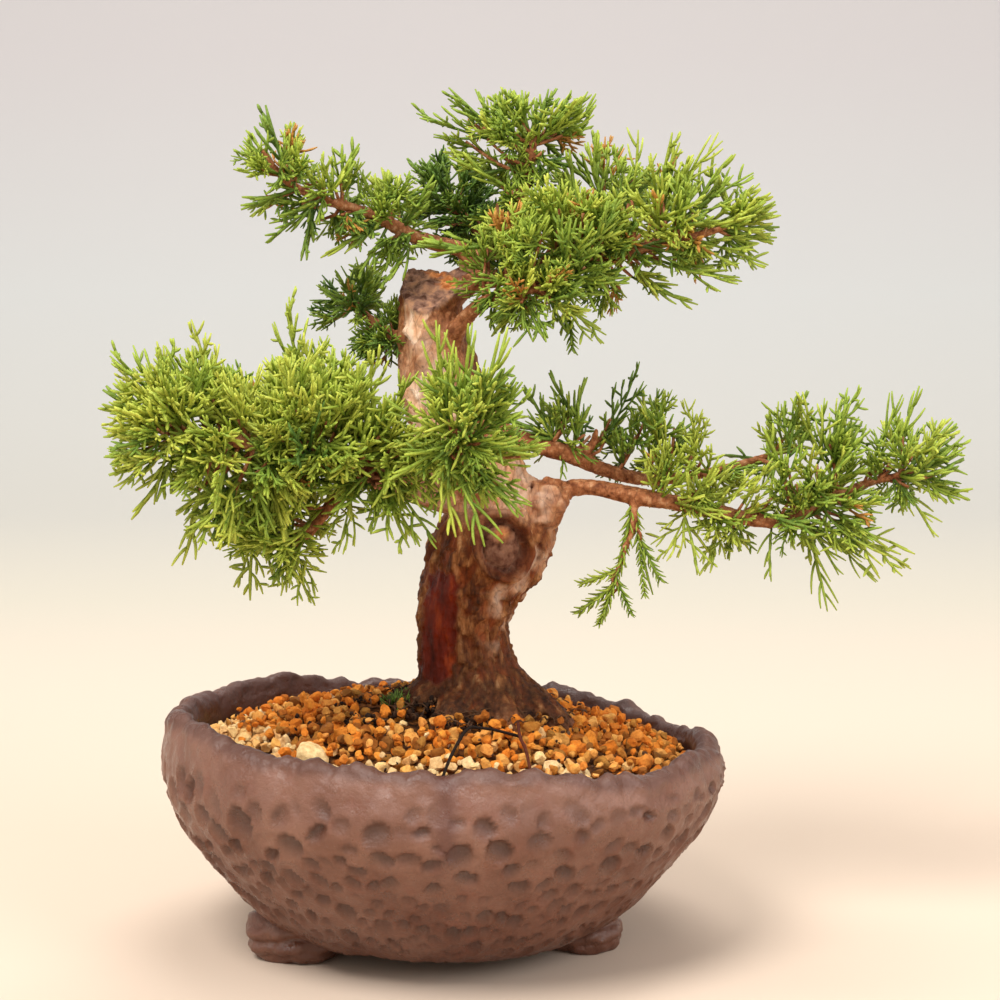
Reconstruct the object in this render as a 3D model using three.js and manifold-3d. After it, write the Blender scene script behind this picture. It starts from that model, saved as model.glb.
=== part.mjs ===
// A small juniper bonsai in a pinched clay bowl, in millimetres with +Z up.
// Everything is laid out round the bowl's own axis, X to the right and Y away from the front.
// At the end the whole group is moved so that the middle of its underside is the origin.
import * as THREE from "three";
import { mergeVertices } from "three/addons/utils/BufferGeometryUtils.js";
import Module from "manifold-3d";

const wasm = await Module();
wasm.setup();
const { Manifold } = wasm;

// ---- driving dimensions ----
const GAP = 0.3; // air left between pieces that touch

// outside of the bowl from the middle of its underside up to the lip, then down the inside: [radius, height]
const BOWL_PROFILE = [
  [0, 4.5], [37, 4.8], [45, 7], [54.5, 14], [60.5, 21], [66, 28], [71, 35], [74.8, 43],
  [75.8, 49], [75, 54], [73.6, 58], [71.2, 59.6], [69, 58.8], [68, 55],
  [69, 49], [68.6, 44], [60, 29], [42, 14.2], [34, 12], [0, 11.5],
];
const CAVITY_FIRST = 12; // first profile point that belongs to the inside wall
const BOWL_SEGMENTS = 48;
const CAVITY_SEGMENTS = 24;
const RIM_LEVEL = 42; // the wall is even below this height and hand-shaped above it
const RIM_TOP = 59;
const RIM_TILT = 5.5; // the rim is this much higher than its mean at the high side
const RIM_HIGH_SIDE = (-155 * Math.PI) / 180;
const DRAIN_RADIUS = 7;
const PINCH_DEPTH = 0.7; // deepest hollow that the fingers left in the outside
const PINCH_FROM = 8; // lowest and highest level of those hollows
const PINCH_TO = 56;
const PINCH_RADIUS = 46;
const FEET = [
  { at: [-38, -17, 6.5], size: [12.5, 11.5, 9.5] },
  { at: [38, -10, 6.2], size: [10.5, 10, 8.8] },
  { at: [2, 41, 6.2], size: [11, 10.5, 8.8] },
];

const MESH_RADIUS = 13;
const MESH_THICKNESS = 1.2;
const MESH_LEVEL = 13.4;
const MESH_HOLE = 3;
const MESH_PITCH = 5.6;
const CLIP_WIRE_RADIUS = 0.8;

const SOIL_EDGE = 52.5; // height of the soil against the bowl
const SOIL_MOUND = 13.5; // how much higher it is at the trunk
const SOIL_RADIUS = 68;
const TOP_LAYER = 8;
const PUMICE_DEPTH = 4;
const PUMICE_RISE = 0.4;
const PATCH_DEPTH = 3;
const PATCH_RISE = 0.7;
const SOIL_LEAN = 2.6; // the soil is this much higher at the rim's high side
const PUMICE_ARC = [(-205 * Math.PI) / 180, (-62 * Math.PI) / 180];
const PUMICE_INNER = 56;

const TRUNK_SIDES = 14;
const TRUNK_RINGS = 14;
const TRUNK_RIDGE = 0.05; // how far the trunk's section is from round
const BRANCH_SIDES = 6;
// limb paths: [x, y, z, radius]
const LOWER_TRUNK = [
  [10, 0, 56, 18], [9, 0, 65, 16.2], [6.5, 0, 76, 12.7], [5.4, 0, 87.5, 12], [7.8, 0, 96, 13.2],
  [11.3, 0, 104, 15], [14.8, 0, 111, 14.8], [17, 0.3, 117.5, 13.4], [17.6, 0.5, 122.5, 10.4],
  [17.4, 0.8, 126.5, 5.5],
];
const UPPER_TRUNK = [
  [15, 1, 117, 9], [11.5, 1.3, 124.5, 11.2], [7, 2, 132.5, 11.5], [2.6, 3, 143, 11.3],
  [-0.7, 4, 153.5, 10.6], [-3, 5, 164, 8.9], [-3.2, 6, 173, 8.3], [-2.4, 6, 184, 8],
];
const BRANCHES = {
  lower_right: [
    [23, 0, 119, 5], [32.8, 0, 122.8, 2.6], [39.5, 0, 123.6, 2.2], [52, -2, 121.4, 2.4], [66, -3, 119, 2.1],
    [80.7, -4, 115.8, 2], [91.4, -4, 115.2, 1.8], [99.5, -3, 119, 1.6], [114, -2, 125, 1.2],
    [126, -2, 128, 0.8],
  ],
  upper_right: [
    [6, 3, 141, 5], [16.7, 2, 138.2, 2.6], [24.8, 3, 134.9, 2.3], [35.6, 5, 131.5, 2.5], [41.6, 7, 128.3, 2],
    [51, 9, 125.3, 1.9], [60, 11, 124.4, 1.7], [72, 13, 126, 1.4], [84, 15, 129, 1.1], [98, 17, 133, 0.8],
  ],
  left: [
    [14, -2, 121, 8], [3.4, -6, 122, 5.4], [-4.3, -13, 124.4, 4.6], [-14.3, -24, 128.8, 4],
    [-24, -34, 134, 3.4], [-36, -42, 138, 2.6], [-51, -46, 141, 2], [-67, -48, 144, 1.2],
  ],
  left_low: [[-19, -29, 131, 2.6], [-27, -33, 123.5, 1.9], [-35, -31, 114, 1.3], [-41, -28, 108, 0.8]],
  left_up: [[-12, -21, 128, 2.4], [-20, -22, 140, 1.8], [-28, -19, 151, 1.3], [-33, -16, 158, 0.8]],
  left_back: [[-3, -11, 124, 2.6], [-18, -8, 128.5, 1.9], [-34, -4, 133, 1.4], [-48, 0, 138, 0.8]],
  front: [[8, -6, 124, 4.4], [5, -22, 129.5, 2.6], [3.5, -38, 136.5, 2], [3.6, -52, 143.5, 1.1]],
  upper_left: [
    [9, 6, 184, 3], [4.7, 6.5, 186.9, 2.3], [-4, 7, 189, 2.1], [-10, 5, 191.5, 1.9], [-19, 2, 196.3, 1.6],
    [-32, -1, 200.5, 1.3], [-41, -3, 205.2, 1.1], [-47, -4, 213, 0.8],
  ],
  mid_left: [[-4, 4, 157, 4], [-12.9, 8, 163.5, 1.7], [-19.9, 13, 168.1, 1.3], [-27, 18, 172.8, 0.8]],
  crown: [
    [0, 6, 176, 5.5], [9, 6, 183, 3.1], [16.2, 6, 189.9, 2.5], [20.7, 5, 200, 2], [23.4, 4, 210.5, 1.4],
    [25, 4, 218, 0.9],
  ],
  back: [[14, 6, 187, 2.4], [8.6, 18, 193.2, 1.5], [2, 27, 199, 0.9]],
  upper_right_pad: [
    [0, 5, 174, 4.5], [9, 3, 178.2, 2.8], [17, 3, 179.8, 2.4], [27.3, 0, 182.6, 2.2], [40.5, -3, 184.8, 1.9],
    [53.5, -5, 187.7, 1.5], [66.5, -6, 190.6, 1.2], [76, -6, 193.5, 0.8],
  ],
  upper_front: [
    [0, 1, 158, 4], [5.6, -4, 168, 2.3], [11.5, -9, 173.4, 1.9], [20.6, -16, 176.5, 1.4], [30, -21, 178, 0.9],
  ],
  upper_rear: [[26, 1, 182, 2], [34.3, 14, 190, 1.4], [45.5, 23, 199, 0.9]],
  hanging: [[51, -2, 121.4, 1.5], [51, -4, 114, 1], [47.5, -5, 104, 0.8], [44, -5, 94, 0.7]],
  dead_stub: [[36.5, 5, 131, 1.8], [40.2, 4, 134.8, 1.2], [41.4, 3.6, 139, 0.8]],
};
const ROOTS = [
  [[8, 0, 68, 9], [24, -5, 63, 6], [36, -9, 54, 3]],
  [[8, 0, 68, 9], [-7, -5, 62, 6], [-20, -8, 52, 3]],
  [[8, 0, 68, 9], [4, -14, 63, 5], [-2, -27, 53, 3]],
  [[8, 0, 68, 9], [14, 14, 62, 6], [18, 28, 52, 3]],
];
const SCAR = { at: [14.6, -13.2, 109.8], size: [7.4, 3, 9.2], dish: [5.2, 2.4, 6.8] };
const KNOB = { at: [29, -5, 120.5], size: [6.2, 6, 6.6] };
const TOP_CUT = { at: [-2.6, 6, 178], normal: [-0.1, -0.62, 0.78] };

// leaf pads, each the foliage of one branch, as overlapping lumps:
// [x, y, z, half-width, half-depth, half-height]
const PADS = {
  foliage_left_outer: [
    [-65, -47, 144, 19, 20, 20], [-50, -48, 137, 19, 20, 22], [-42, -35, 121, 16, 18, 19],
  ],
  foliage_left_inner: [
    [-31, -46, 146, 17, 17, 18], [-17, -44, 137, 14, 15, 16], [-32, -26, 150, 14, 14, 16],
  ],
  foliage_left_back: [[-42, 0, 142, 17, 14, 13], [-55, -6, 146, 12, 12, 10]],
  foliage_front: [[7, -55, 146, 16, 15, 18], [-3, -46, 134, 11, 11, 12], [15, -49, 134, 11, 11, 13]],
  foliage_mid_left: [[-25, 18, 171, 11, 12, 13], [-16, 12, 164, 6, 8, 8]],
  foliage_upper_left: [[-42, -4, 207, 12, 12, 14], [-31, -2, 201, 13, 12, 13], [-17, 3, 197, 12, 11, 12]],
  foliage_back: [[1, 25, 200, 13, 13, 14], [12, 30, 192, 11, 12, 12]],
  foliage_crown: [[24, 4, 218, 16, 15, 12], [12, 4, 216, 12, 11, 10], [18, 6, 203, 12, 12, 11]],
  foliage_upper_inner: [[20, -12, 186, 17, 14, 13], [34, -14, 190, 16, 15, 16], [26, -20, 175, 13, 12, 11]],
  foliage_upper_outer: [[58, -6, 196, 18, 16, 15], [73, -6, 193, 15, 14, 15], [48, -4, 179, 14, 13, 9]],
  foliage_upper_rear: [[44, 23, 201, 16, 13, 14], [32, 16, 194, 10, 9, 10]],
  foliage_middle: [[38, 7, 140, 14, 10, 9], [57, 11, 140, 12, 11, 10]],
  foliage_right_inner: [[68, 3, 129, 15, 14, 13], [76, 0, 116, 14, 13, 12]],
  foliage_right_outer: [[98, 2, 131, 17, 17, 16], [104, -1, 116, 16, 15, 13]],
  foliage_right_tip: [[126, -1, 130, 15, 14, 14]],
  foliage_hanging: [[43, -5, 100, 6.5, 5, 13], [51, -5, 108, 5.5, 5, 11]],
};

// pieces lying on the soil
const PEBBLE = { at: [-32.2, -45, 60], size: [4.6, 3.8, 3.3] };
const HUMUS = { at: [9, 2], radius: 27 };
const MOSS = { at: [-11, -7], size: [4.5, 4.5, 4] };
const ROOT_STRAND = [[2, -59], [4, -52], [7, -45], [10, -40], [15, -36]];
const DRY_TWIG = [[20, -31], [20.5, -38], [22, -47], [23.5, -58]];
const STRAND_RADIUS = 0.5;

// ---- helpers ----
const loose = (geometry) => {
  const g = geometry.index ? geometry.toNonIndexed() : geometry.clone();
  return new THREE.BufferGeometry().setAttribute("position", g.getAttribute("position"));
};

// A three.js geometry as a manifold-3d solid.
function solid(geometry) {
  const merged = mergeVertices(loose(geometry), 1e-3);
  const triVerts = new Uint32Array(merged.index.array);
  return new Manifold(
    new wasm.Mesh({ numProp: 3, vertProperties: merged.attributes.position.array, triVerts }),
  );
}

// Moves every vertex of a geometry with a function of its place.
function moved(geometry, place) {
  const p = geometry.getAttribute("position");
  const v = new THREE.Vector3();
  for (let i = 0; i < p.count; i++) {
    v.fromBufferAttribute(p, i);
    place(v);
    p.setXYZ(i, v.x, v.y, v.z);
  }
  return geometry;
}

// A body of revolution round Z from a profile of [radius, height].
function turned(profile, segments) {
  const points = profile.map(([r, z]) => new THREE.Vector2(r, z));
  const g = new THREE.LatheGeometry(points, segments);
  return g.rotateX(Math.PI / 2);
}

function ball([x, y, z], [a, b, c], detail = 3, grow = 0) {
  const g = new THREE.IcosahedronGeometry(1, detail);
  return solid(g.scale(a + grow, b + grow, c + grow).translate(x, y, z));
}

function box(low, high) {
  const size = high.map((v, i) => v - low[i]);
  const g = new THREE.BoxGeometry(...size);
  return solid(g.translate(...low.map((v, i) => v + size[i] / 2)));
}

function rod([x, y], radius, low, high, sides = 24) {
  const g = new THREE.CylinderGeometry(radius, radius, high - low, sides);
  return solid(g.rotateX(Math.PI / 2).translate(x, y, (low + high) / 2));
}

// A tapering limb: a lathe bent along a smooth path of [x, y, z, radius].
function limb(path, sides, rings, grow = 0, ridge = 0) {
  const points = path.map(([x, y, z]) => new THREE.Vector3(x, y, z));
  const curve = new THREE.CatmullRomCurve3(points, false, "centripetal");
  const last = path.length - 1;
  const radiusAt = (u) => {
    const k = Math.min(Math.floor(u * last), last - 1);
    return THREE.MathUtils.lerp(path[k][3], path[k + 1][3], u * last - k) + grow;
  };
  const frames = [];
  let side = new THREE.Vector3(0, 1, 0);
  for (let i = 0; i <= rings; i++) {
    const along = curve.getTangent(i / rings);
    side = side.clone().addScaledVector(along, -side.dot(along)).normalize();
    const up = new THREE.Vector3().crossVectors(side, along).normalize();
    frames.push({ at: curve.getPoint(i / rings), side, up, along });
  }
  const profile = [new THREE.Vector2(0, 0)];
  for (let i = 0; i <= rings; i++) {
    profile.push(new THREE.Vector2(radiusAt(i / rings), i));
  }
  profile.push(new THREE.Vector2(0, rings));
  const bent = moved(new THREE.LatheGeometry(profile, sides), (v) => {
    const i = Math.round(v.y);
    const turn = Math.atan2(v.x, v.z);
    const swell = 1 + ridge * Math.sin(3 * turn + 0.35 * i) + 0.5 * ridge * Math.sin(5 * turn - 0.5 * i);
    const { at, side: s, up: u, along } = frames[i];
    const end = i === 0 ? -grow : i === rings ? grow : 0;
    const x = v.x * swell;
    const z = v.z * swell;
    v.copy(at).addScaledVector(s, x).addScaledVector(u, z).addScaledVector(along, end);
  });
  return solid(bent);
}

// A named mesh of a solid's one real body, without the crumbs that cutting may leave.
function mesh(name, body, color, roughness, metalness = 0) {
  const m = largest(body).getMesh();
  const g = new THREE.BufferGeometry();
  g.setAttribute("position", new THREE.BufferAttribute(new Float32Array(m.vertProperties), 3));
  g.setIndex(new THREE.BufferAttribute(new Uint32Array(m.triVerts), 1));
  g.computeVertexNormals();
  const made = new THREE.Mesh(g, new THREE.MeshStandardMaterial({ color, roughness, metalness }));
  made.name = name;
  return made;
}

const largest = (body) => {
  const bodies = body.decompose();
  return bodies.reduce((a, b) => (b.volume() > a.volume() ? b : a));
};

// ---- the bowl ----
// How far the hand-shaped rim stands above or below an even one.
function rimRise(x, y, z) {
  const share = THREE.MathUtils.clamp((z - RIM_LEVEL) / (RIM_TOP - RIM_LEVEL), 0, 1);
  const turn = Math.atan2(y, x);
  const waves = 1.1 * Math.cos(5 * turn + 0.6) + 0.7 * Math.sin(9 * turn);
  return share * share * (3 - 2 * share) * (RIM_TILT * Math.cos(turn - RIM_HIGH_SIDE) + waves);
}

// Broad hollows left by the fingers, only on the outside wall.
function pinch(v) {
  const radius = Math.hypot(v.x, v.y);
  if (radius < PINCH_RADIUS || v.z > PINCH_TO || v.z < PINCH_FROM) return;
  const turn = Math.atan2(v.y, v.x);
  const rows = Math.sin(13 * turn + v.z * 0.45) * Math.sin(0.5 * v.z + 4 * turn);
  const k = 1 + (0.5 * PINCH_DEPTH * (rows - 1)) / radius;
  v.x *= k;
  v.y *= k;
}

const outerWall = BOWL_PROFILE.slice(0, CAVITY_FIRST);
const innerWall = BOWL_PROFILE.slice(CAVITY_FIRST);
const shapeRim = (v) => {
  v.z += rimRise(v.x, v.y, v.z);
};

const bowlGeometry = turned(BOWL_PROFILE, BOWL_SEGMENTS);
const onOutside = new Set(outerWall.map(([r, z]) => r.toFixed(2) + "/" + z.toFixed(2)));
moved(bowlGeometry, (v) => {
  const key = Math.hypot(v.x, v.y).toFixed(2) + "/" + v.z.toFixed(2);
  if (onOutside.has(key)) pinch(v);
  shapeRim(v);
});
// what is inside the bowl, left out by a gap, up to well above the rim
function cavity(grow) {
  const wall = innerWall.map(([r, z]) => [r && r + grow, z - grow]).reverse();
  const top = wall[wall.length - 1];
  const closed = [...wall, [top[0], 95], [0, 95]];
  return solid(moved(turned(closed, CAVITY_SEGMENTS), shapeRim));
}
const FAR = 200;
let pot = solid(bowlGeometry);
for (const { at, size } of FEET) {
  pot = pot.add(ball(at, size, 2).subtract(cavity(1)));
}
pot = pot.subtract(box([-FAR, -FAR, -50], [FAR, FAR, 0]));
pot = pot.subtract(rod([0, 0], DRAIN_RADIUS, -5, 20));

// ---- drainage mesh and its wire clip ----
const wirePath = [
  [-9, 0, 3.1], [-6, 0, 3.6], [-5.6, 0, 8], [-5.6, 0, 14], [-4.4, 0, 16], [0, 0, 16.3],
  [4.4, 0, 16], [5.6, 0, 14], [5.6, 0, 8], [6, 0, 3.6], [9, 0, 3.1],
];
function wire(grow) {
  return limb(wirePath.map((p) => [...p, CLIP_WIRE_RADIUS]), 6, 20, grow);
}
let screen = rod([0, 0], MESH_RADIUS, MESH_LEVEL, MESH_LEVEL + MESH_THICKNESS, 32);
for (const i of [-1, 0, 1]) {
  for (const j of [-1, 0, 1]) {
    const [x, y] = [i * MESH_PITCH, j * MESH_PITCH];
    const half = MESH_HOLE / 2;
    const low = [x - half, y - half, MESH_LEVEL - 2];
    screen = screen.subtract(box(low, [x + half, y + half, MESH_LEVEL + 4]));
  }
}
screen = screen.subtract(wire(GAP));

// ---- the tree: trunk, branches and root base grown as one ----
function tree(grow) {
  let wood = limb(LOWER_TRUNK, TRUNK_SIDES, TRUNK_RINGS, grow, TRUNK_RIDGE);
  wood = wood.add(limb(UPPER_TRUNK, TRUNK_SIDES, TRUNK_RINGS, grow, TRUNK_RIDGE));
  wood = wood.add(ball(SCAR.at, SCAR.size, 2, grow)).add(ball(KNOB.at, KNOB.size, 2, grow));
  for (const path of Object.values(BRANCHES)) {
    wood = wood.add(limb(path, BRANCH_SIDES, Math.round(1.5 * (path.length - 1)), grow));
  }
  for (const path of ROOTS) {
    wood = wood.add(limb(path, BRANCH_SIDES, 3, grow));
  }
  if (grow === 0) {
    const [x, y, z] = SCAR.at;
    wood = wood.subtract(ball([x + 0.4, y - SCAR.size[1], z], SCAR.dish, 2));
  }
  return wood;
}
const cutPlane = new THREE.Vector3(...TOP_CUT.normal).normalize();
const cutLevel = cutPlane.dot(new THREE.Vector3(...TOP_CUT.at));
const keepBelowCut = (body) => body.trimByPlane(cutPlane.clone().negate().toArray(), -cutLevel);
const leader = limb(UPPER_TRUNK, TRUNK_SIDES, TRUNK_RINGS, 0, TRUNK_RIDGE);
const wood = tree(0).subtract(leader.subtract(keepBelowCut(leader)));
const woodCutter = tree(GAP);

// ---- soil ----
function soilHeight(x, y) {
  const radius = Math.hypot(x, y);
  const share = Math.min(radius / SOIL_RADIUS, 1.15);
  const turn = Math.atan2(y, x);
  const lumps = 0.5 * Math.sin(0.55 * x + 1) * Math.sin(0.6 * y) + 0.4 * Math.sin(0.9 * x - 0.7 * y);
  const tilt = SOIL_LEAN * share * Math.cos(turn - RIM_HIGH_SIDE);
  return SOIL_EDGE + SOIL_MOUND * (1 - share * share) + tilt + lumps;
}
// everything under the soil surface moved up or down by an offset
function below(offset) {
  const rings = [0, 15, 30, 45, 60, 82];
  const profile = [[0, -20], [82, -20], ...rings.reverse().map((r) => [r, 0])];
  return solid(
    moved(turned(profile, 18), (v) => {
      if (v.z > -1) v.z = soilHeight(v.x, v.y) + offset;
    }),
  );
}
const inside = cavity(-GAP);
const patch = (grow) => rod(HUMUS.at, HUMUS.radius + grow, 35, 95, 12);
function pumiceSector(grow) {
  const shape = new THREE.Shape();
  const [from, to] = [PUMICE_ARC[0] - grow / PUMICE_INNER, PUMICE_ARC[1] + grow / PUMICE_INNER];
  shape.absarc(0, 0, 90, from, to, false);
  shape.absarc(0, 0, PUMICE_INNER - grow, to, from, true);
  const g = new THREE.ExtrudeGeometry(shape, { depth: 60, bevelEnabled: false, curveSegments: 10 });
  return solid(g.translate(0, 0, 35));
}
const pebbleCutter = ball(PEBBLE.at, PEBBLE.size, 2, GAP);
const meshCutter = rod([0, 0], MESH_RADIUS + GAP, MESH_LEVEL - GAP, MESH_LEVEL + MESH_THICKNESS + GAP, 32);

const soilBody = inside
  .intersect(below(-TOP_LAYER - GAP))
  .subtract(woodCutter)
  .subtract(meshCutter)
  .subtract(wire(GAP));
const topLayer = inside.intersect(below(0)).subtract(below(-TOP_LAYER));
const akadama = topLayer
  .subtract(woodCutter)
  .subtract(patch(GAP).subtract(below(-PATCH_DEPTH - GAP)))
  .subtract(pumiceSector(GAP).subtract(below(-PUMICE_DEPTH - GAP)))
  .subtract(pebbleCutter);
const pumiceBand = below(PUMICE_RISE).subtract(below(-PUMICE_DEPTH));
const pumice = inside.intersect(pumiceSector(0)).intersect(pumiceBand).subtract(pebbleCutter);
const humusBand = below(PATCH_RISE).subtract(below(-PATCH_DEPTH));
const humus = patch(0).intersect(humusBand).subtract(woodCutter);
const pebble = ball(PEBBLE.at, PEBBLE.size, 2);
const mossHeight = soilHeight(...MOSS.at) + 1.5;
const moss = ball([...MOSS.at, mossHeight], MOSS.size, 2)
  .subtract(below(PATCH_RISE + GAP))
  .subtract(woodCutter);

// A thin dry strand that lies just clear of the soil.
function strand(route, arch) {
  const last = route.length - 1;
  const path = route.map(([x, y], i) => [
    x, y, soilHeight(x, y) + 1.9 + arch * Math.sin((Math.PI * i) / last), STRAND_RADIUS,
  ]);
  return limb(path, 6, 12).subtract(below(PATCH_RISE + GAP));
}

// ---- foliage ----
function lump([x, y, z, a, b, c], seed, grow) {
  const g = mergeVertices(loose(new THREE.IcosahedronGeometry(1, 1)), 1e-4);
  moved(g, (v) => {
    const bumps = 1 + 0.07 * Math.sin(5 * v.x + seed) * Math.sin(6 * v.y + 2 * seed) * Math.cos(5 * v.z);
    v.multiplyScalar(bumps);
  });
  return solid(g.scale(a + grow, b + grow, c + grow).translate(x, y, z));
}
function pad(lumps, seed, grow) {
  return lumps.map((l, i) => lump(l, seed + i, grow)).reduce((a, b) => a.add(b));
}
const padNames = Object.keys(PADS);
// each pad is cut clear of the wood and of the pads before it
const pads = padNames.map((name, i) => {
  let body = pad(PADS[name], i, 0).subtract(woodCutter);
  padNames.slice(0, i).forEach((other, j) => {
    body = body.subtract(pad(PADS[other], j, GAP));
  });
  return body;
});

// ---- the group ----
const group = new THREE.Group();
group.name = "juniper_bonsai";
const inner = new THREE.Group();
group.add(inner);

const CLAY = 0x6b4f47;
inner.add(mesh("pot", pot, CLAY, 0.75));
inner.add(mesh("drainage_mesh", screen, 0x23262a, 0.6));
inner.add(mesh("mesh_clip_wire", wire(0), 0x9a9a96, 0.4, 1));
inner.add(mesh("soil_body", soilBody, 0x6a4a2c, 1));
inner.add(mesh("akadama_layer", akadama, 0xb5702f, 1));
inner.add(mesh("pumice_edge", pumice, 0xd9bf8e, 1));
inner.add(mesh("cream_pebble", pebble, 0xdcc49a, 0.9));
inner.add(mesh("humus_patch", humus, 0x2f2118, 1));
inner.add(mesh("moss_tuft", moss, 0x5c7a28, 1));
inner.add(mesh("dry_root_strand", strand(ROOT_STRAND, 3.5), 0x2a1c14, 0.9));
inner.add(mesh("dry_twig", strand(DRY_TWIG, 0.8), 0x5c2f18, 0.9));
inner.add(mesh("trunk_and_branches", wood, 0x8a5a40, 0.85));
pads.forEach((body, i) => {
  inner.add(mesh(padNames[i], body, 0x6c9a30, 0.7));
});

// the middle of the whole object's underside becomes the origin
const bounds = new THREE.Box3().setFromObject(inner, true);
const middle = bounds.getCenter(new THREE.Vector3());
inner.position.set(-middle.x, -middle.y, -bounds.min.z);

export default group;
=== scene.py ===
# %% [markdown]
# # A potted juniper bonsai
# A small juniper with a bent trunk and flat pads of scale-like leaves grows in a round clay bowl that was
# pinched by hand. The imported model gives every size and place; this lesson rebuilds each piece on top of it
# with the detail that the eye expects: bark, granules, dents in the clay and thousands of leafy shoots.

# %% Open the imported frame
import random
from math import atan2, cos, exp, hypot, pi, radians, sin, tau

import bmesh
import bpy
from mathutils import Matrix, Vector, kdtree, noise


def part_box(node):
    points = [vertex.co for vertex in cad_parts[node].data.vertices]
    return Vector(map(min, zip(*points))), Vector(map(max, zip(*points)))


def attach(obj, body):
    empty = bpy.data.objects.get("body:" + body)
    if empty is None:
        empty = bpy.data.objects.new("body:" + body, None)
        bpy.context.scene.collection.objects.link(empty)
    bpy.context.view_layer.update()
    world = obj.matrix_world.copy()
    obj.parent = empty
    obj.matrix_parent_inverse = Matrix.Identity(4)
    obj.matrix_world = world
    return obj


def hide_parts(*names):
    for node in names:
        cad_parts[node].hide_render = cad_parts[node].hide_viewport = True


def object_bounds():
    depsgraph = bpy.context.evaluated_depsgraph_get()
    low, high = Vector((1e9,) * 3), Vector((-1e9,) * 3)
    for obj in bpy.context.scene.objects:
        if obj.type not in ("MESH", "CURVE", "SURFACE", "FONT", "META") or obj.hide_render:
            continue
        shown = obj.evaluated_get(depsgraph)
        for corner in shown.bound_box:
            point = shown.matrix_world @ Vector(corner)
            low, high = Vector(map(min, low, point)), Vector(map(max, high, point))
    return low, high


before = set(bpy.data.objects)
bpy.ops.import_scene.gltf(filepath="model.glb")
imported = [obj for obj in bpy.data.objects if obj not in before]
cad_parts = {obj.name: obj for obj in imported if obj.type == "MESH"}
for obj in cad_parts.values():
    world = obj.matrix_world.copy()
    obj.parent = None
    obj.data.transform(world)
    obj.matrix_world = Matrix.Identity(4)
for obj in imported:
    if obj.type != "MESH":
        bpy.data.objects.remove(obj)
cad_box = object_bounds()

print("packed box in metres:", cad_box)

# %% [markdown]
# ## Working round the bowl's axis
# A potter and a gardener both work round the middle of the bowl, so the sizes below are millimetres measured
# from that axis. The drainage mesh lies exactly on it, so its box tells where the axis is.

# %% Find the bowl's axis
MM = 0.001
mesh_low, mesh_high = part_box("drainage_mesh")
AXIS = Vector(((mesh_low[0] + mesh_high[0]) / 2, (mesh_low[1] + mesh_high[1]) / 2, 0))
SEED = 7


def place(x, y, z):
    """Millimetres round the bowl's axis to metres in the shared frame."""
    return AXIS + Vector((x, y, z)) * MM


def smoothstep(low, high, value):
    t = min(max((value - low) / (high - low), 0), 1)
    return t * t * (3 - 2 * t)


print("bowl axis at", tuple(round(v, 5) for v in AXIS))

# %% [markdown]
# ## Camera, backdrop and light
# A small tree looks best from just above the rim, through a long lens that keeps the branches' proportions.
# One sheet makes floor and wall: it is bent upwards behind the tree, so no line shows where they meet. The
# light is a large soft panel above and to the left, a weaker one on the right and one from above.

# %% Set up the camera
EYE = (15.4, -675, 203)
LOOK_DOWN = 7
scene = bpy.context.scene
camera_data = bpy.data.cameras.new("camera")
camera = bpy.data.objects.new("camera", camera_data)
scene.collection.objects.link(camera)
camera_data.lens = 91.3
camera_data.sensor_width = 36
camera_data.clip_end = 20
camera.location = place(*EYE)
camera.rotation_euler = (radians(90 - LOOK_DOWN), 0, 0)
scene.camera = camera
scene.view_settings.view_transform = "Standard"
print("camera at", tuple(round(v, 3) for v in camera.location))


# %% Start a material
def rgb(red, green, blue):
    """A colour as a paint chart gives it, 0 to 255, turned into the linear light a shader works in."""
    def linear(c):
        c /= 255
        return c / 12.92 if c <= 0.04045 else ((c + 0.055) / 1.055) ** 2.4
    return (linear(red), linear(green), linear(blue), 1)


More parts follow.
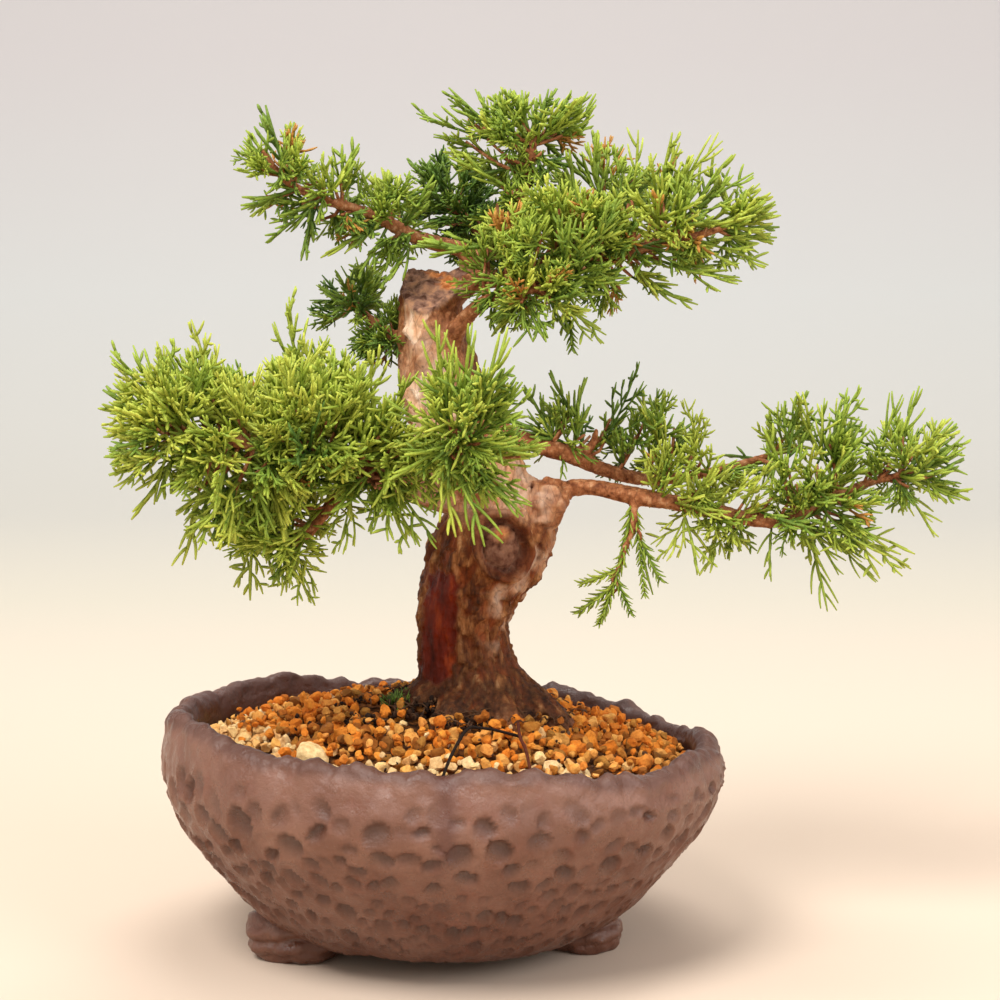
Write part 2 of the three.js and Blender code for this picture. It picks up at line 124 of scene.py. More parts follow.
class Finish:
    """A material under construction, with short names for the nodes that are used again and again."""

    def __init__(self, name, roughness=0.8, specular=0.5):
        self.material = bpy.data.materials.new(name)
        self.material.use_nodes = True
        self.nodes = self.material.node_tree.nodes
        self.links = self.material.node_tree.links
        self.shader = self.nodes["Principled BSDF"]
        self.shader.inputs["Roughness"].default_value = roughness
        self.shader.inputs["Specular IOR Level"].default_value = specular
        self.coords = self.nodes.new("ShaderNodeTexCoord").outputs["Object"]
        self.last_bump = None

    def feed(self, socket, value):
        if isinstance(value, bpy.types.NodeSocket):
            self.links.new(value, socket)
        else:
            socket.default_value = value

    def stretched(self, stretch):
        mapping = self.nodes.new("ShaderNodeMapping")
        mapping.inputs["Scale"].default_value = stretch
        self.links.new(self.coords, mapping.inputs["Vector"])
        return mapping.outputs["Vector"]

    def cloud(self, size_mm, detail=3, stretch=(1, 1, 1), roughness=0.55, distortion=0):
        """Soft random patches about size_mm across."""
        node = self.nodes.new("ShaderNodeTexNoise")
        node.inputs["Scale"].default_value = 1 / (size_mm * MM)
        node.inputs["Detail"].default_value = detail
        node.inputs["Roughness"].default_value = roughness
        node.inputs["Distortion"].default_value = distortion
        self.links.new(self.stretched(stretch), node.inputs["Vector"])
        return node.outputs["Fac"]

    def cells(self, size_mm, feature="F1", stretch=(1, 1, 1)):
        """Distance inside random cells about size_mm across."""
        node = self.nodes.new("ShaderNodeTexVoronoi")
        node.feature = feature
        node.inputs["Scale"].default_value = 1 / (size_mm * MM)
        self.links.new(self.stretched(stretch), node.inputs["Vector"])
        return node.outputs["Distance"]

    def axis(self, letter):
        """The height or distance along one axis, in metres."""
        node = self.nodes.new("ShaderNodeSeparateXYZ")
        self.links.new(self.coords, node.inputs["Vector"])
        return node.outputs[letter]

    def painted(self, name):
        """A number that was stored on the mesh's points."""
        node = self.nodes.new("ShaderNodeAttribute")
        node.attribute_name = name
        return node.outputs["Fac"]

    def ramp(self, value, *stops):
        node = self.nodes.new("ShaderNodeValToRGB")
        self.links.new(value, node.inputs["Fac"])
        ramp = node.color_ramp
        while len(ramp.elements) < len(stops):
            ramp.elements.new(0.5)
        for element, (position, colour) in zip(ramp.elements, stops):
            element.position = position
            element.color = colour if len(colour) == 4 else (*colour, 1)
        return node.outputs["Color"]

    def share(self, value, low, high):
        """A value spread out so that low becomes 0 and high becomes 1."""
        node = self.nodes.new("ShaderNodeMapRange")
        self.links.new(value, node.inputs["Value"])
        node.inputs["From Min"].default_value = low
        node.inputs["From Max"].default_value = high
        return node.outputs["Result"]

    def mix(self, amount, first, second, blend="MIX"):
        node = self.nodes.new("ShaderNodeMix")
        node.data_type = "RGBA"
        node.blend_type = blend
        self.feed(node.inputs["Factor"], amount)
        self.feed(node.inputs[6], first)
        self.feed(node.inputs[7], second)
        return node.outputs[2]

    def maths(self, operation, first, second):
        node = self.nodes.new("ShaderNodeMath")
        node.operation = operation
        self.feed(node.inputs[0], first)
        self.feed(node.inputs[1], second)
        return node.outputs[0]

    def cover(self, base, where, strength, colour):
        """A colour laid over the base where a mask is high, and only as strongly as told."""
        return self.mix(self.maths("MULTIPLY", where, strength), base, colour)

    def colour(self, value):
        self.feed(self.shader.inputs["Base Color"], value)

    def roughness(self, value):
        self.feed(self.shader.inputs["Roughness"], value)

    def bump(self, height, depth_mm, strength=1.0):
        node = self.nodes.new("ShaderNodeBump")
        node.inputs["Strength"].default_value = strength
        node.inputs["Distance"].default_value = depth_mm * MM
        self.links.new(height, node.inputs["Height"])
        if self.last_bump:
            self.links.new(self.last_bump, node.inputs["Normal"])
        self.last_bump = node.outputs["Normal"]
        self.links.new(self.last_bump, self.shader.inputs["Normal"])


# %% Turn a bmesh into a piece
def to_mesh(bm, name):
    mesh = bpy.data.meshes.new(name)
    bm.to_mesh(mesh)
    bm.free()
    return mesh


def to_object(bm, name, material, smooth=True):
    """Writes a bmesh in metres to a new object that sits at the origin."""
    mesh = to_mesh(bm, name)
    if smooth:
        mesh.shade_smooth()
    piece = bpy.data.objects.new(name, mesh)
    scene.collection.objects.link(piece)
    mesh.materials.append(material)
    print(name, len(mesh.polygons), "faces")
    return piece


# %% Name the steps that come back often
def only(kind, geometry):
    """The vertices, or the faces, out of everything that an operator gives back."""
    return [g for g in geometry if isinstance(g, kind)]


def into_frame(bm):
    """Moves a bmesh drawn in millimetres round the bowl's axis into the shared frame."""
    for v in bm.verts:
        v.co = place(*v.co)


def search_tree(points):
    """A tree that finds the nearest of many points quickly."""
    tree = kdtree.KDTree(len(points))
    for index, point in enumerate(points):
        tree.insert(point, index)
    tree.balance()
    return tree


def bell(value, middle, width):
    """1 at the middle, and almost 0 from two widths away."""
    return exp(-((value - middle) / width) ** 2)


def any_vector(dice):
    return Vector([dice.gauss(0, 1) for _ in range(3)])


def any_place(dice, reach):
    """A random place on a disc: x, y and the distance from the bowl's axis."""
    radius, turn = reach * dice.random() ** 0.5, dice.uniform(0, tau)
    return radius * cos(turn), radius * sin(turn), radius


# %% Roll out the backdrop
def make_backdrop():
    finish = Finish("studio_paper", roughness=0.9, specular=0.1)
    along = finish.maths("ADD", finish.axis("Y"), finish.maths("MULTIPLY", finish.axis("Z"), 2))
    finish.colour(finish.ramp(
        finish.share(along, 0, 2.2),
        (0.05, rgb(214, 195, 177)), (0.15, rgb(213, 200, 184)), (0.26, rgb(209, 203, 189)),
        (0.41, rgb(209, 207, 200)), (0.7, rgb(208, 209, 208)), (0.96, rgb(206, 202, 203)),
    ))
    bm = bmesh.new()
    bend_start, bend = 0.9, 0.7
    profile = [(-1.6, 0), (bend_start, 0)]
    for k in range(1, 13):
        a = radians(7.5 * k)
        profile.append((bend_start + bend * sin(a), bend - bend * cos(a)))
    profile.append((bend_start + bend, 3.0))
    points = [bm.verts.new((-2.5, y, z)) for y, z in profile]
    edges = [bm.edges.new(pair) for pair in zip(points, points[1:])]
    swept = bmesh.ops.extrude_edge_only(bm, edges=edges)["geom"]
    bmesh.ops.translate(bm, verts=only(bmesh.types.BMVert, swept), vec=(5, 0, 0))
    bmesh.ops.recalc_face_normals(bm, faces=bm.faces)
    return to_object(bm, "backdrop", finish.material)


make_backdrop()


# %% Hang the lamps
TREE_MIDDLE = Vector((0, 0, 0.1))


def lamp(name, location, size, power, colour):
    """A round panel in metres and watts that faces the tree."""
    data = bpy.data.lights.new(name, "AREA")
    data.shape = "DISK"
    data.size = size
    data.energy = power
    data.color = colour
    made = bpy.data.objects.new(name, data)
    scene.collection.objects.link(made)
    made.location = location
    made.rotation_euler = (TREE_MIDDLE - Vector(location)).to_track_quat("-Z", "Y").to_euler()
    print(name, power, "watts")


lamp("key_panel", (-0.55, -0.75, 1.25), 0.7, 20, (1.0, 0.97, 0.93))
lamp("fill_panel", (0.9, -0.8, 0.75), 0.8, 7, (0.97, 0.98, 1.0))
lamp("top_panel", (0.1, 0.25, 1.4), 0.8, 9.5, (1.0, 0.98, 0.95))
world = bpy.data.worlds.new("studio")
scene.world = world
world.use_nodes = True
glow = world.node_tree.nodes["Background"].inputs
glow["Color"].default_value = rgb(250, 246, 240)
glow["Strength"].default_value = 0.7

# %% [markdown]
# ## Smooth paths
# Limbs, twigs, roots and the bowl's section are all drawn as a few measured points. A Catmull-Rom curve runs
# through every point, so the measured places are kept and the line between them is smooth.


# %% Run a smooth line through measured points
def smooth_path(points, spacing):
    """Points of any length (x, y, z, radius...) joined by a Catmull-Rom curve, about spacing apart."""
    points = [Vector(p) for p in points]
    ends = [2 * points[0] - points[1]] + points + [2 * points[-1] - points[-2]]
    made = []
    for a, b, c, d in zip(ends, ends[1:], ends[2:], ends[3:]):
        pieces = max(1, round((c - b).length / spacing))
        for i in range(pieces):
            t = i / pieces
            curve = 2 * b + (c - a) * t + (2 * a - 5 * b + 4 * c - d) * t * t
            made.append(0.5 * (curve + (3 * b - a - 3 * c + d) * t ** 3))
    return made + [points[-1]]


def stations(path):
    """For each [x, y, z, radius] of a path: its centre, radius, direction and two sideways directions."""
    made = []
    side = Vector((0.13, 1, 0.07))
    for i, p in enumerate(path):
        along = (path[min(i + 1, len(path) - 1)] - path[max(i - 1, 0)]).to_3d().normalized()
        side = (side - along * side.dot(along)).normalized()
        made.append((p.to_3d(), p[3], along, side, along.cross(side)))
    return made


def tube(bm, path, sides, section=None):
    """A closed tapering tube: the end cap is extruded from each station to the next."""
    rings = stations(path)

    def settle(corners, station, index):
        centre, radius, _, side, up = station
        for j, v in enumerate(corners):
            turn = tau * j / len(corners)
            r = radius * (section(index, turn) if section else 1)
            v.co = centre + side * (r * cos(turn)) + up * (r * sin(turn))

    drum = bmesh.ops.create_cone(bm, cap_ends=True, segments=sides, radius1=1, radius2=1, depth=2)["verts"]
    cap = max({f for v in drum for f in v.link_faces}, key=lambda f: f.calc_center_median().z)
    top = list(cap.verts)
    below = [next(e.other_vert(v) for e in v.link_edges if e.other_vert(v) not in top) for v in top]
    settle(below, rings[0], 0)
    settle(top, rings[1], 1)
    for index, station in enumerate(rings[2:], 2):
        grown = bmesh.ops.extrude_face_region(bm, geom=[cap])["geom"]
        bm.faces.remove(cap)
        cap = only(bmesh.types.BMFace, grown)[0]
        settle(cap.verts, station, index)
    return rings


# %% [markdown]
# ## The clay bowl
# The bowl was coiled thick and then pinched all over: broad hollows from the fingers near the rim, small
# nail-sized dents below. It could be carved in sculpt mode, but here the section is spun round the axis
# into a fine skin, and every point of the skin is then moved in or out, which keeps each dent's size known.

# %% Spin the bowl
BOWL_OUTSIDE = [
    (7, 4.5), (37, 4.8), (45, 7), (54.5, 14), (60.5, 21), (66, 28), (71, 35), (74.8, 43), (75.8, 49),
    (75, 54), (73.6, 58), (71.2, 59.6), (69, 58.8), (68, 55),
]
BOWL_INSIDE = [(68, 55), (69, 49), (68.6, 44), (60, 29), (42, 14.2), (34, 12), (7, 11.5)]
RIM_LEVEL, RIM_TOP, RIM_TILT, RIM_HIGH_SIDE = 42, 59, 5.5, radians(-155)
BOWL_STEPS = 560
WALL = 70


def on_wall(turn, z):
    """A place on a plain cylinder as wide as the bowl, where dents and noise are measured."""
    return Vector((WALL * cos(turn), WALL * sin(turn), z))


def rim_rise(turn, z):
    """How far the rim is lifted: it tilts, and it waves as a pinched rim does."""
    waves = 1.1 * cos(5 * turn + 0.6) + 0.7 * sin(9 * turn)
    return smoothstep(RIM_LEVEL, RIM_TOP, z) * (RIM_TILT * cos(turn - RIM_HIGH_SIDE) + waves)


def spin_bowl():
    bm = bmesh.new()
    outside = smooth_path([(r, 0, z) for r, z in BOWL_OUTSIDE], 0.82)
    inside = smooth_path([(r, 0, z) for r, z in BOWL_INSIDE], 5)
    rim_points = [bm.verts.new(p) for p in outside + inside[1:]]
    loop = [bm.edges.new(pair) for pair in zip(rim_points, rim_points[1:] + rim_points[:1])]
    bmesh.ops.spin(bm, geom=rim_points + loop, cent=(0, 0, 0), axis=(0, 0, 1), angle=tau,
                   steps=BOWL_STEPS, use_merge=True)
    bmesh.ops.remove_doubles(bm, verts=bm.verts, dist=0.001)
    bmesh.ops.recalc_face_normals(bm, faces=bm.faces)
    return bm


# %% Scatter the dents
def scatter_dents():
    """Dents as (place on the wall, half-width, depth, slant, flatness), none on top of another."""
    dice = random.Random(SEED)
    dents = []
    for _ in range(3200):
        turn, z = dice.uniform(-pi, pi), 9 + 43 * dice.random() ** 1.1
        half = dice.uniform(1.5, 3.0) + 1.3 * smoothstep(26, 42, z) * dice.random()
        spot = on_wall(turn, z)
        if all((spot - other[0]).length > 0.8 * (half + other[1]) + 0.4 for other in dents):
            depth = min(1.5, half * dice.uniform(0.2, 0.62))
            dents.append((spot, half, depth, dice.uniform(-0.8, 0.8), dice.uniform(0.62, 1.05)))
    return dents


DENTS = scatter_dents()
dent_tree = search_tree([dent[0] for dent in DENTS])
print(len(DENTS), "dents")


# %% Pinch and dent the clay
def dent_at(spot, turn):
    """How deep the wall is dented at a spot, and how far the clay is pushed up beside a dent."""
    deepest = lip = 0
    for where, index, _ in dent_tree.find_n(spot, 3):
        half, depth, slant, flat = DENTS[index][1:]
        offset = spot - where
        sideways = offset.y * cos(turn) - offset.x * sin(turn)
        across = (sideways * cos(slant) + offset.z * sin(slant)) / half
        drop = (offset.z * cos(slant) - sideways * sin(slant)) / (flat * half)
        q = across ** 2 + (drop * (1.3 if drop > 0 else 0.8)) ** 2
        if q < 1:
            deepest = max(deepest, depth * (1 - q) ** 0.42 * (1 + 0.7 * drop))
        elif q < 1.9:
            lip += 0.2 * depth * (1.9 - q)
    return deepest, lip


def pinch_bowl(bm):
    """Moves the skin along its normals: broad waves, facets near the rim, dents, and a ragged rim."""
    dent_shade = bm.verts.layers.float.new("dent_shade")
    bm.normal_update()
    for v in bm.verts:
        radius, z = hypot(v.co.x, v.co.y), v.co.z
        if radius < 1:
            continue
        turn = atan2(v.co.y, v.co.x)
        outward = v.normal.copy()
        spot = on_wall(turn, z)
        out = v.normal.x * v.co.x + v.normal.y * v.co.y > -0.3 * radius or z < 9
        push = 0.8 * noise.noise(spot / 21) + 0.3 * noise.noise(spot / 7.5 + Vector((9, 0, 0)))
        if out and z > 5.2:
            facet = abs(noise.noise(Vector((spot.x / 9, spot.y / 9, z / 6.5)))) - 0.25
            push += 0.9 * smoothstep(32, 46, z) * facet + 0.3 * noise.noise(spot / 2.8)
            deepest, lip = dent_at(spot, turn)
            fade = smoothstep(5, 12, z) * (1 - 0.75 * smoothstep(46, 55, z))
            push += lip - 1.25 * fade * deepest
            # Each dent's depth is kept so that shade can be painted into it.
            v[dent_shade] = min(1, 0.9 * deepest * fade)
        ragged = smoothstep(52, 57.5, z)
        push += ragged * (1.3 * noise.noise(spot / 5) + 0.6 * noise.noise(spot / 2))
        v.co += outward * push * (1 if out else 0.6)
        v.co.z += rim_rise(turn, z) + ragged * 1.6 * noise.noise(spot / 5.5 + Vector((31, 0, 0)))
    into_frame(bm)


# %% Mix the clay's finish
def clay_finish():
    clay = Finish("pinched_clay", roughness=0.5, specular=0.65)
    # The clay is painted darker and browner towards the bottom: partly the clay's own rust-brown lower half,
    # partly painted shade on the belly that turns away from the light.
    upward = clay.share(clay.axis("Z"), 0.004, 0.052)
    base = clay.ramp(
        upward,
        (0.0, rgb(82, 34, 9)), (0.4, rgb(98, 49, 22)), (0.8, rgb(118, 74, 53)), (1.0, rgb(130, 90, 75)),
    )
    patches = clay.ramp(clay.cloud(16, detail=5), (0.35, rgb(86, 43, 19)), (0.62, rgb(134, 96, 78)))
    base = clay.mix(0.42, base, patches)
    rust = clay.ramp(clay.cloud(7, detail=6, roughness=0.65), (0.5, (0, 0, 0)), (0.72, (1, 1, 1)))
    base = clay.cover(base, rust, 0.5, rgb(114, 60, 38))
    # Painted shade inside the dents: the deeper the dent, the darker the clay.
    base = clay.cover(base, clay.painted("dent_shade"), 0.55, rgb(48, 24, 16))
    base = clay.cover(base, clay.painted("rim"), 0.85, rgb(66, 32, 24))
    base = clay.mix(clay.painted("drip"), base, rgb(80, 38, 28))
    specks = clay.ramp(clay.cells(1.7), (0.0, (1, 1, 1)), (0.12, (0, 0, 0)))
    clay.colour(clay.cover(base, specks, 0.3, rgb(170, 150, 140)))
    clay.roughness(clay.share(clay.cloud(5, detail=4), 0.14, 1.05))
    clay.bump(clay.cloud(1.1, detail=6, roughness=0.7), 0.3)
    clay.bump(clay.cloud(4, detail=4), 0.6)
    return clay.material


CLAY = clay_finish()


# %% Finish the bowl
def make_bowl():
    bm = spin_bowl()
    pinch_bowl(bm)
    rim = bm.verts.layers.float.new("rim")
    drip = bm.verts.layers.float.new("drip")
    for v in bm.verts:
        x, y, z = (v.co - AXIS) / MM
        level = z - rim_rise(atan2(y, x), RIM_TOP)
        wobble = 1.5 * noise.noise(Vector((x, y, z)) / 6)
        inner = smoothstep(71.8, 70.2, hypot(x, y)) * smoothstep(40, 46, level)
        v[rim] = max(smoothstep(55.5, 58.5, level + wobble) * 0.7, inner)
        if y < 0:
            v[drip] = 0.7 * bell(x + wobble, 2, 3.2) * smoothstep(30, 46, z)
    return to_object(bm, "clay_bowl", CLAY)


bowl = make_bowl()
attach(bowl, "root")

# %% [markdown]
# ## Three pad feet
# Each foot is a ball of the same clay, pressed against the underside until it spread. A ball could be
# modelled and squashed; here a finely divided sphere is widened, dented where the thumb folded it and cut
# flat where it stands.

# %% Press on the feet
# each foot is its centre and its half-width, half-depth and half-height
FEET = [
    ((-38.5, -17, 6.5), (13.3, 12, 9.6)),
    ((38, -10, 6.2), (10.3, 9.8, 8.6)),
    ((2, 41, 6.2), (10.8, 10.3, 8.6)),
]


def make_feet():
    bm = bmesh.new()
    for centre, size in FEET:
        ball = bmesh.ops.create_icosphere(bm, subdivisions=5, radius=1)["verts"]
        for v in ball:
            p = v.co.copy()
            crease = bell(p.z - 0.22 * p.x, 0.05, 0.09) * smoothstep(-0.4, 0.5, -p.y + abs(p.x))
            fold = bell(p.z - 0.15 * p.x + 0.1 * noise.noise(p * 3), -0.42, 0.06)
            lumps = 1 + 0.13 * noise.noise(p * 1.9 + Vector(centre)) + 0.05 * noise.noise(p * 5)
            lumps -= 0.1 * crease + 0.05 * fold
            spread = 1 + 0.1 * smoothstep(0.2, -0.6, p.z)
            pressed = Vector((p.x * size[0] * spread, p.y * size[1] * spread, p.z * size[2]))
            v.co = pressed * lumps + Vector(centre)
            v.co.z = max(v.co.z, 0)
    into_frame(bm)
    return to_object(bm, "clay_feet", CLAY)


feet = make_feet()
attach(feet, "root")
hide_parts("pot")
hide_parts("pot")

# %% [markdown]
# ## Inside the bowl
# The drainage mesh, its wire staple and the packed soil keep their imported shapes, because nobody sees more of
# them than a glimpse through the hole. They still get finishes of their own.


# %% Finish the hidden pieces
def soil_finish(name, dark, light, grain_mm):
    soil = Finish(name, roughness=0.95, specular=0.2)
    soil.colour(soil.ramp(soil.cells(grain_mm), (0.1, light), (0.6, dark)))
    soil.bump(soil.cells(grain_mm), 1.2)
    soil.bump(soil.cloud(0.8, detail=5), 0.3)
    return soil.material


def mesh_finish():
    plastic = Finish("drainage_plastic", roughness=0.55)
    plastic.colour(plastic.ramp(plastic.cloud(3), (0.3, rgb(28, 29, 32)), (0.7, rgb(42, 43, 46))))
    plastic.bump(plastic.cloud(0.7), 0.05)
    return plastic.material


def wire_finish():
    wire = Finish("clip_wire", roughness=0.38)
    wire.shader.inputs["Metallic"].default_value = 1
    drawn = wire.cloud(2, stretch=(0.3, 1, 1))
    wire.colour(wire.ramp(drawn, (0.3, rgb(150, 148, 142)), (0.7, rgb(186, 184, 178))))
    wire.bump(wire.cloud(0.5), 0.03)
    return wire.material


def refinish(node, material):
    """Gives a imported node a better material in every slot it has."""
    for slot in bpy.data.objects[node].material_slots:
        slot.material = material


refinish("drainage_mesh", mesh_finish())
refinish("mesh_clip_wire", wire_finish())
refinish("soil_body", soil_finish("packed_soil", rgb(58, 36, 22), rgb(140, 92, 48), 4))

# %% [markdown]
# ## The soil surface
# The soil is heaped towards the trunk and lies a few millimetres under the rim. First comes a dark bed, painted
# shade that shows in the gaps between the granules, then the granules themselves: hard clay lumps, most of them
# 3 to 5 mm across.
# Each lump is a small sphere knocked out of shape, and a handful of such shapes, turned and scaled, fills the
# whole bowl.

# %% Say how high the soil stands
SOIL_EDGE, SOIL_MOUND, SOIL_RADIUS, SOIL_TILT = 52.5, 13.5, 68, 2.6
TRUNK_FOOT, HUMUS_MIDDLE = Vector((9, 0)), Vector((1, -1))


def soil_height(x, y):
    share = min(hypot(x, y) / SOIL_RADIUS, 1.15)
    tilt = SOIL_TILT * share * cos(atan2(y, x) - RIM_HIGH_SIDE)
    lumps = 0.5 * sin(0.55 * x + 1) * sin(0.6 * y) + 0.4 * sin(0.9 * x - 0.7 * y)
    return SOIL_EDGE + SOIL_MOUND * (1 - share ** 2) + tilt + lumps


# %% Lay the dark bed
BED_RADIUS, BED_DEPTH = 67, 3.2


def make_bed():
    bm = bmesh.new()
    bmesh.ops.create_grid(bm, x_segments=90, y_segments=90, size=BED_RADIUS)
    outside = [v for v in bm.verts if v.co.xy.length > BED_RADIUS]
    bmesh.ops.delete(bm, geom=outside, context="VERTS")
    for v in bm.verts:
        v.co.z = soil_height(v.co.x, v.co.y) - BED_DEPTH + 0.8 * noise.noise(v.co / 2.5)
    sunk = bmesh.ops.extrude_face_region(bm, geom=list(bm.faces))["geom"]
    bmesh.ops.translate(bm, verts=only(bmesh.types.BMVert, sunk), vec=(0, 0, -3))
    bmesh.ops.recalc_face_normals(bm, faces=bm.faces)
    into_frame(bm)
    # The bed is coloured darker than the granules: painted shade for the gaps between them.
    return to_object(bm, "soil_bed", soil_finish("dark_bed", rgb(70, 40, 18), rgb(158, 96, 42), 2.2))


bed = make_bed()
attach(bed, "root")


# %% Shape a few lumps
def lump_shapes(count, roundness, seed, detail=2):
    """Small closed lumps one unit across, broken flat on some sides, as meshes to be copied."""
    dice = random.Random(seed)
    shapes = []
    for k in range(count):
        bm = bmesh.new()
        bm.verts.layers.float.new("tint")
        bmesh.ops.create_icosphere(bm, subdivisions=detail, radius=0.5)
        corner = Vector([dice.uniform(0, 90) for _ in range(3)])
        squash = Vector([dice.uniform(0.7, 1.2) for _ in range(3)])
        breaks = [any_vector(dice).normalized() for _ in range(7)]
        depths = [0.5 - (1 - roundness) * dice.uniform(0.15, 0.6) for _ in breaks]
        for v in bm.verts:
            for side, reach in zip(breaks, depths):
                v.co -= side * max(v.co.dot(side) - reach, 0)
            v.co *= 1 + (1 - roundness) * 0.55 * noise.noise(v.co * 6 + corner)
            v.co = Vector(a * b for a, b in zip(v.co, squash))
        shapes.append(to_mesh(bm, "lump"))
    return shapes


def set_tint(mesh, name, value):
    mesh.attributes[name].data.foreach_set("value", [value] * len(mesh.vertices))


def heap(bm, shapes, spots, dice):
    """Copies a random lump to each (x, y, z, width, tint) in millimetres, turned any way round."""
    for x, y, z, width, tint in spots:
        copy = dice.choice(shapes).copy()
        turned = Matrix.Rotation(dice.uniform(0, tau), 4, any_vector(dice).normalized())
        copy.transform(Matrix.Translation(place(x, y, z)) @ turned @ Matrix.Scale(width * MM, 4))
        set_tint(copy, "tint", tint)
        bm.from_mesh(copy)
        bpy.data.meshes.remove(copy)


# %% Share out the soil surface
CELL = 5.0
PEBBLE = (-32.2, -45, 60)


def cream_edge(x, y, wobble):
    """How far a place belongs to the pumice along the left and front edge."""
    turn = (atan2(y, x) - radians(-205)) % tau
    if turn > radians(158):
        return 0
    inner = 54.5 + 4 * wobble - 8 * exp(-((turn - 1.0) / 0.6) ** 2) - 6.5 * smoothstep(1.5, 1.9, turn)
    return smoothstep(-2, 2, hypot(x, y) - inner)


def is_free(x, y, width, taken):
    """Whether a lump would lie clear of the lumps in the nine cells round it."""
    column, row = int(x // CELL), int(y // CELL)
    cells = [(column + i, row + j) for i in (-1, 0, 1) for j in (-1, 0, 1)]
    return all(hypot(x - a, y - b) >= 0.37 * (width + w) for cell in cells for a, b, w in taken.get(cell, ()))


def soil_spots():
    """Places for orange and cream lumps, spread evenly with none on top of another."""
    dice = random.Random(SEED + 1)
    taken = {}
    orange, cream = [], []
    for _ in range(26000):
        x, y, radius = any_place(dice, 66.5)
        width = dice.uniform(2.9, 5.3) if dice.random() < 0.8 else dice.uniform(1.8, 3)
        under_pebble = hypot(x - PEBBLE[0], y - PEBBLE[1]) < 4.5
        if not is_free(x, y, width, taken) or under_pebble or radius + 0.4 * width > 67.5:
            continue
        taken.setdefault((int(x // CELL), int(y // CELL)), []).append((x, y, width))
        wobble = noise.noise(Vector((x, y, 0)) / 9)
        if (Vector((x, y)) - TRUNK_FOOT).length < 15:
            continue
        if (Vector((x, y)) - HUMUS_MIDDLE).length < 27 + 9 * wobble and dice.random() < 0.72:
            continue
        z = soil_height(x, y) - 0.55 * width + dice.uniform(-0.3, 1.5)
        if dice.random() < cream_edge(x, y, wobble) * 0.88:
            cream.append((x, y, z, width, dice.random()))
        elif dice.random() < 0.04:
            cream.append((x, y, z, width * 0.8, dice.random()))
        else:
            orange.append((x, y, z, width, dice.random()))
    for _ in range(260):
        x, y, _ = any_place(dice, 60)
        if (Vector((x, y)) - TRUNK_FOOT).length > 21:
            z = soil_height(x, y) + dice.uniform(0.6, 1.6)
            orange.append((x, y, z, dice.uniform(1.8, 4), dice.random()))
    return orange, cream


orange_spots, cream_spots = soil_spots()
print(len(orange_spots), "orange lumps,", len(cream_spots), "cream lumps")


# %% Mix the granules' finishes
def granule_finish(name, *colours):
    clay = Finish(name, roughness=0.92, specular=0.25)
    stops = [(i / (len(colours) - 1), colour) for i, colour in enumerate(colours)]
    base = clay.ramp(clay.painted("tint"), *stops)
    dust = clay.cloud(1.6, detail=5, roughness=0.7)
    shade = clay.ramp(dust, (0.3, rgb(196, 164, 134)), (0.62, rgb(255, 255, 255)))
    clay.colour(clay.mix(0.8, base, shade, "MULTIPLY"))
    clay.bump(clay.cloud(0.7, detail=6, roughness=0.75), 0.35)
    return clay.material


AKADAMA = granule_finish(
    "akadama", rgb(132, 88, 38), rgb(190, 112, 38), rgb(238, 138, 42), rgb(248, 166, 66), rgb(232, 134, 40),
    rgb(252, 192, 104), rgb(206, 138, 56), rgb(166, 120, 54),
)
PUMICE = granule_finish(
    "pumice", rgb(244, 186, 108), rgb(255, 216, 146), rgb(255, 232, 178), rgb(246, 176, 92),
)


# %% Heap the granules
def make_granules(name, spots, shapes, material, seed):
    bm = bmesh.new()
    bm.verts.layers.float.new("tint")
    heap(bm, shapes, spots, random.Random(seed))
    return to_object(bm, name, material, smooth=name.startswith("cream"))


stone = lump_shapes(1, 0.86, 8, detail=4)
akadama = make_granules("akadama_granules", orange_spots, lump_shapes(9, 0.55, 3), AKADAMA, 4)
pumice = make_granules("pumice_granules", cream_spots, lump_shapes(7, 0.45, 5), PUMICE, 6)
pebble = make_granules("cream_pebble_stone", [(*PEBBLE, 8.6, 0.55)], stone, PUMICE, 9)
for piece, node, slot in ((akadama, "akadama_layer", "akadama"), (pumice, "pumice_edge", "pumice"),
                          (pebble, "cream_pebble", "pebble")):
    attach(piece, "root")
    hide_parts(node)
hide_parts("akadama_layer")

# %% [markdown]
# ## Humus, moss and dry bits
# Round the trunk lies dark crumbly humus with bark fibres in it, a sprig of moss grows at the left, and two
# dry strands reach over the granules at the front. Crumbs are the lumps again, much smaller; fibres are short
# tubes.


# %% Crumble the humus
def humus_crumbs(dice):
    """Places for crumbs: a heap against the trunk that thins out, and patches among the granules."""
    spots = []
    for _ in range(1900):
        reach = 9 + 25 * dice.random() ** 1.2
        turn = dice.uniform(0, tau)
        x, y = HUMUS_MIDDLE.x + reach * cos(turn), HUMUS_MIDDLE.y + reach * sin(turn)
        if noise.noise(Vector((x, y, 3)) / 8) + 0.9 * (26 - reach) / 26 < 0.05:
            continue
        z = soil_height(x, y) - 0.8 + 3.2 * bell(reach, 11, 4.5) * dice.random() + dice.uniform(0, 0.8)
        spots.append((x, y, z, dice.uniform(0.8, 2.4), dice.random()))
    for _ in range(420):
        x, y, _ = any_place(dice, 66)
        if noise.noise(Vector((x, y, 20)) / 13) > 0.12:
            z = soil_height(x, y) + dice.uniform(-0.8, 1.2)
            spots.append((x, y, z, dice.uniform(0.8, 2.0), dice.random()))
    return spots


def lay_fibre(bm, dice):
    """One thin bark fibre, arched a little over the crumbs."""
    reach, turn = dice.uniform(10, 30), dice.uniform(0, tau)
    x, y = TRUNK_FOOT.x + reach * cos(turn), TRUNK_FOOT.y + reach * sin(turn)
    heading, length = dice.uniform(0, tau), dice.uniform(2, 7)
    route = []
    for t in (0, 0.35, 0.7, 1):
        step = length * (t - 0.5)
        z = soil_height(x, y) + 0.8 + 0.9 * sin(pi * t) + dice.uniform(-0.3, 0.3)
        route.append(place(x + step * cos(heading), y + step * sin(heading), z))
    tube(bm, [Vector((*spot, dice.uniform(0.12, 0.26) * MM)) for spot in route], 5)


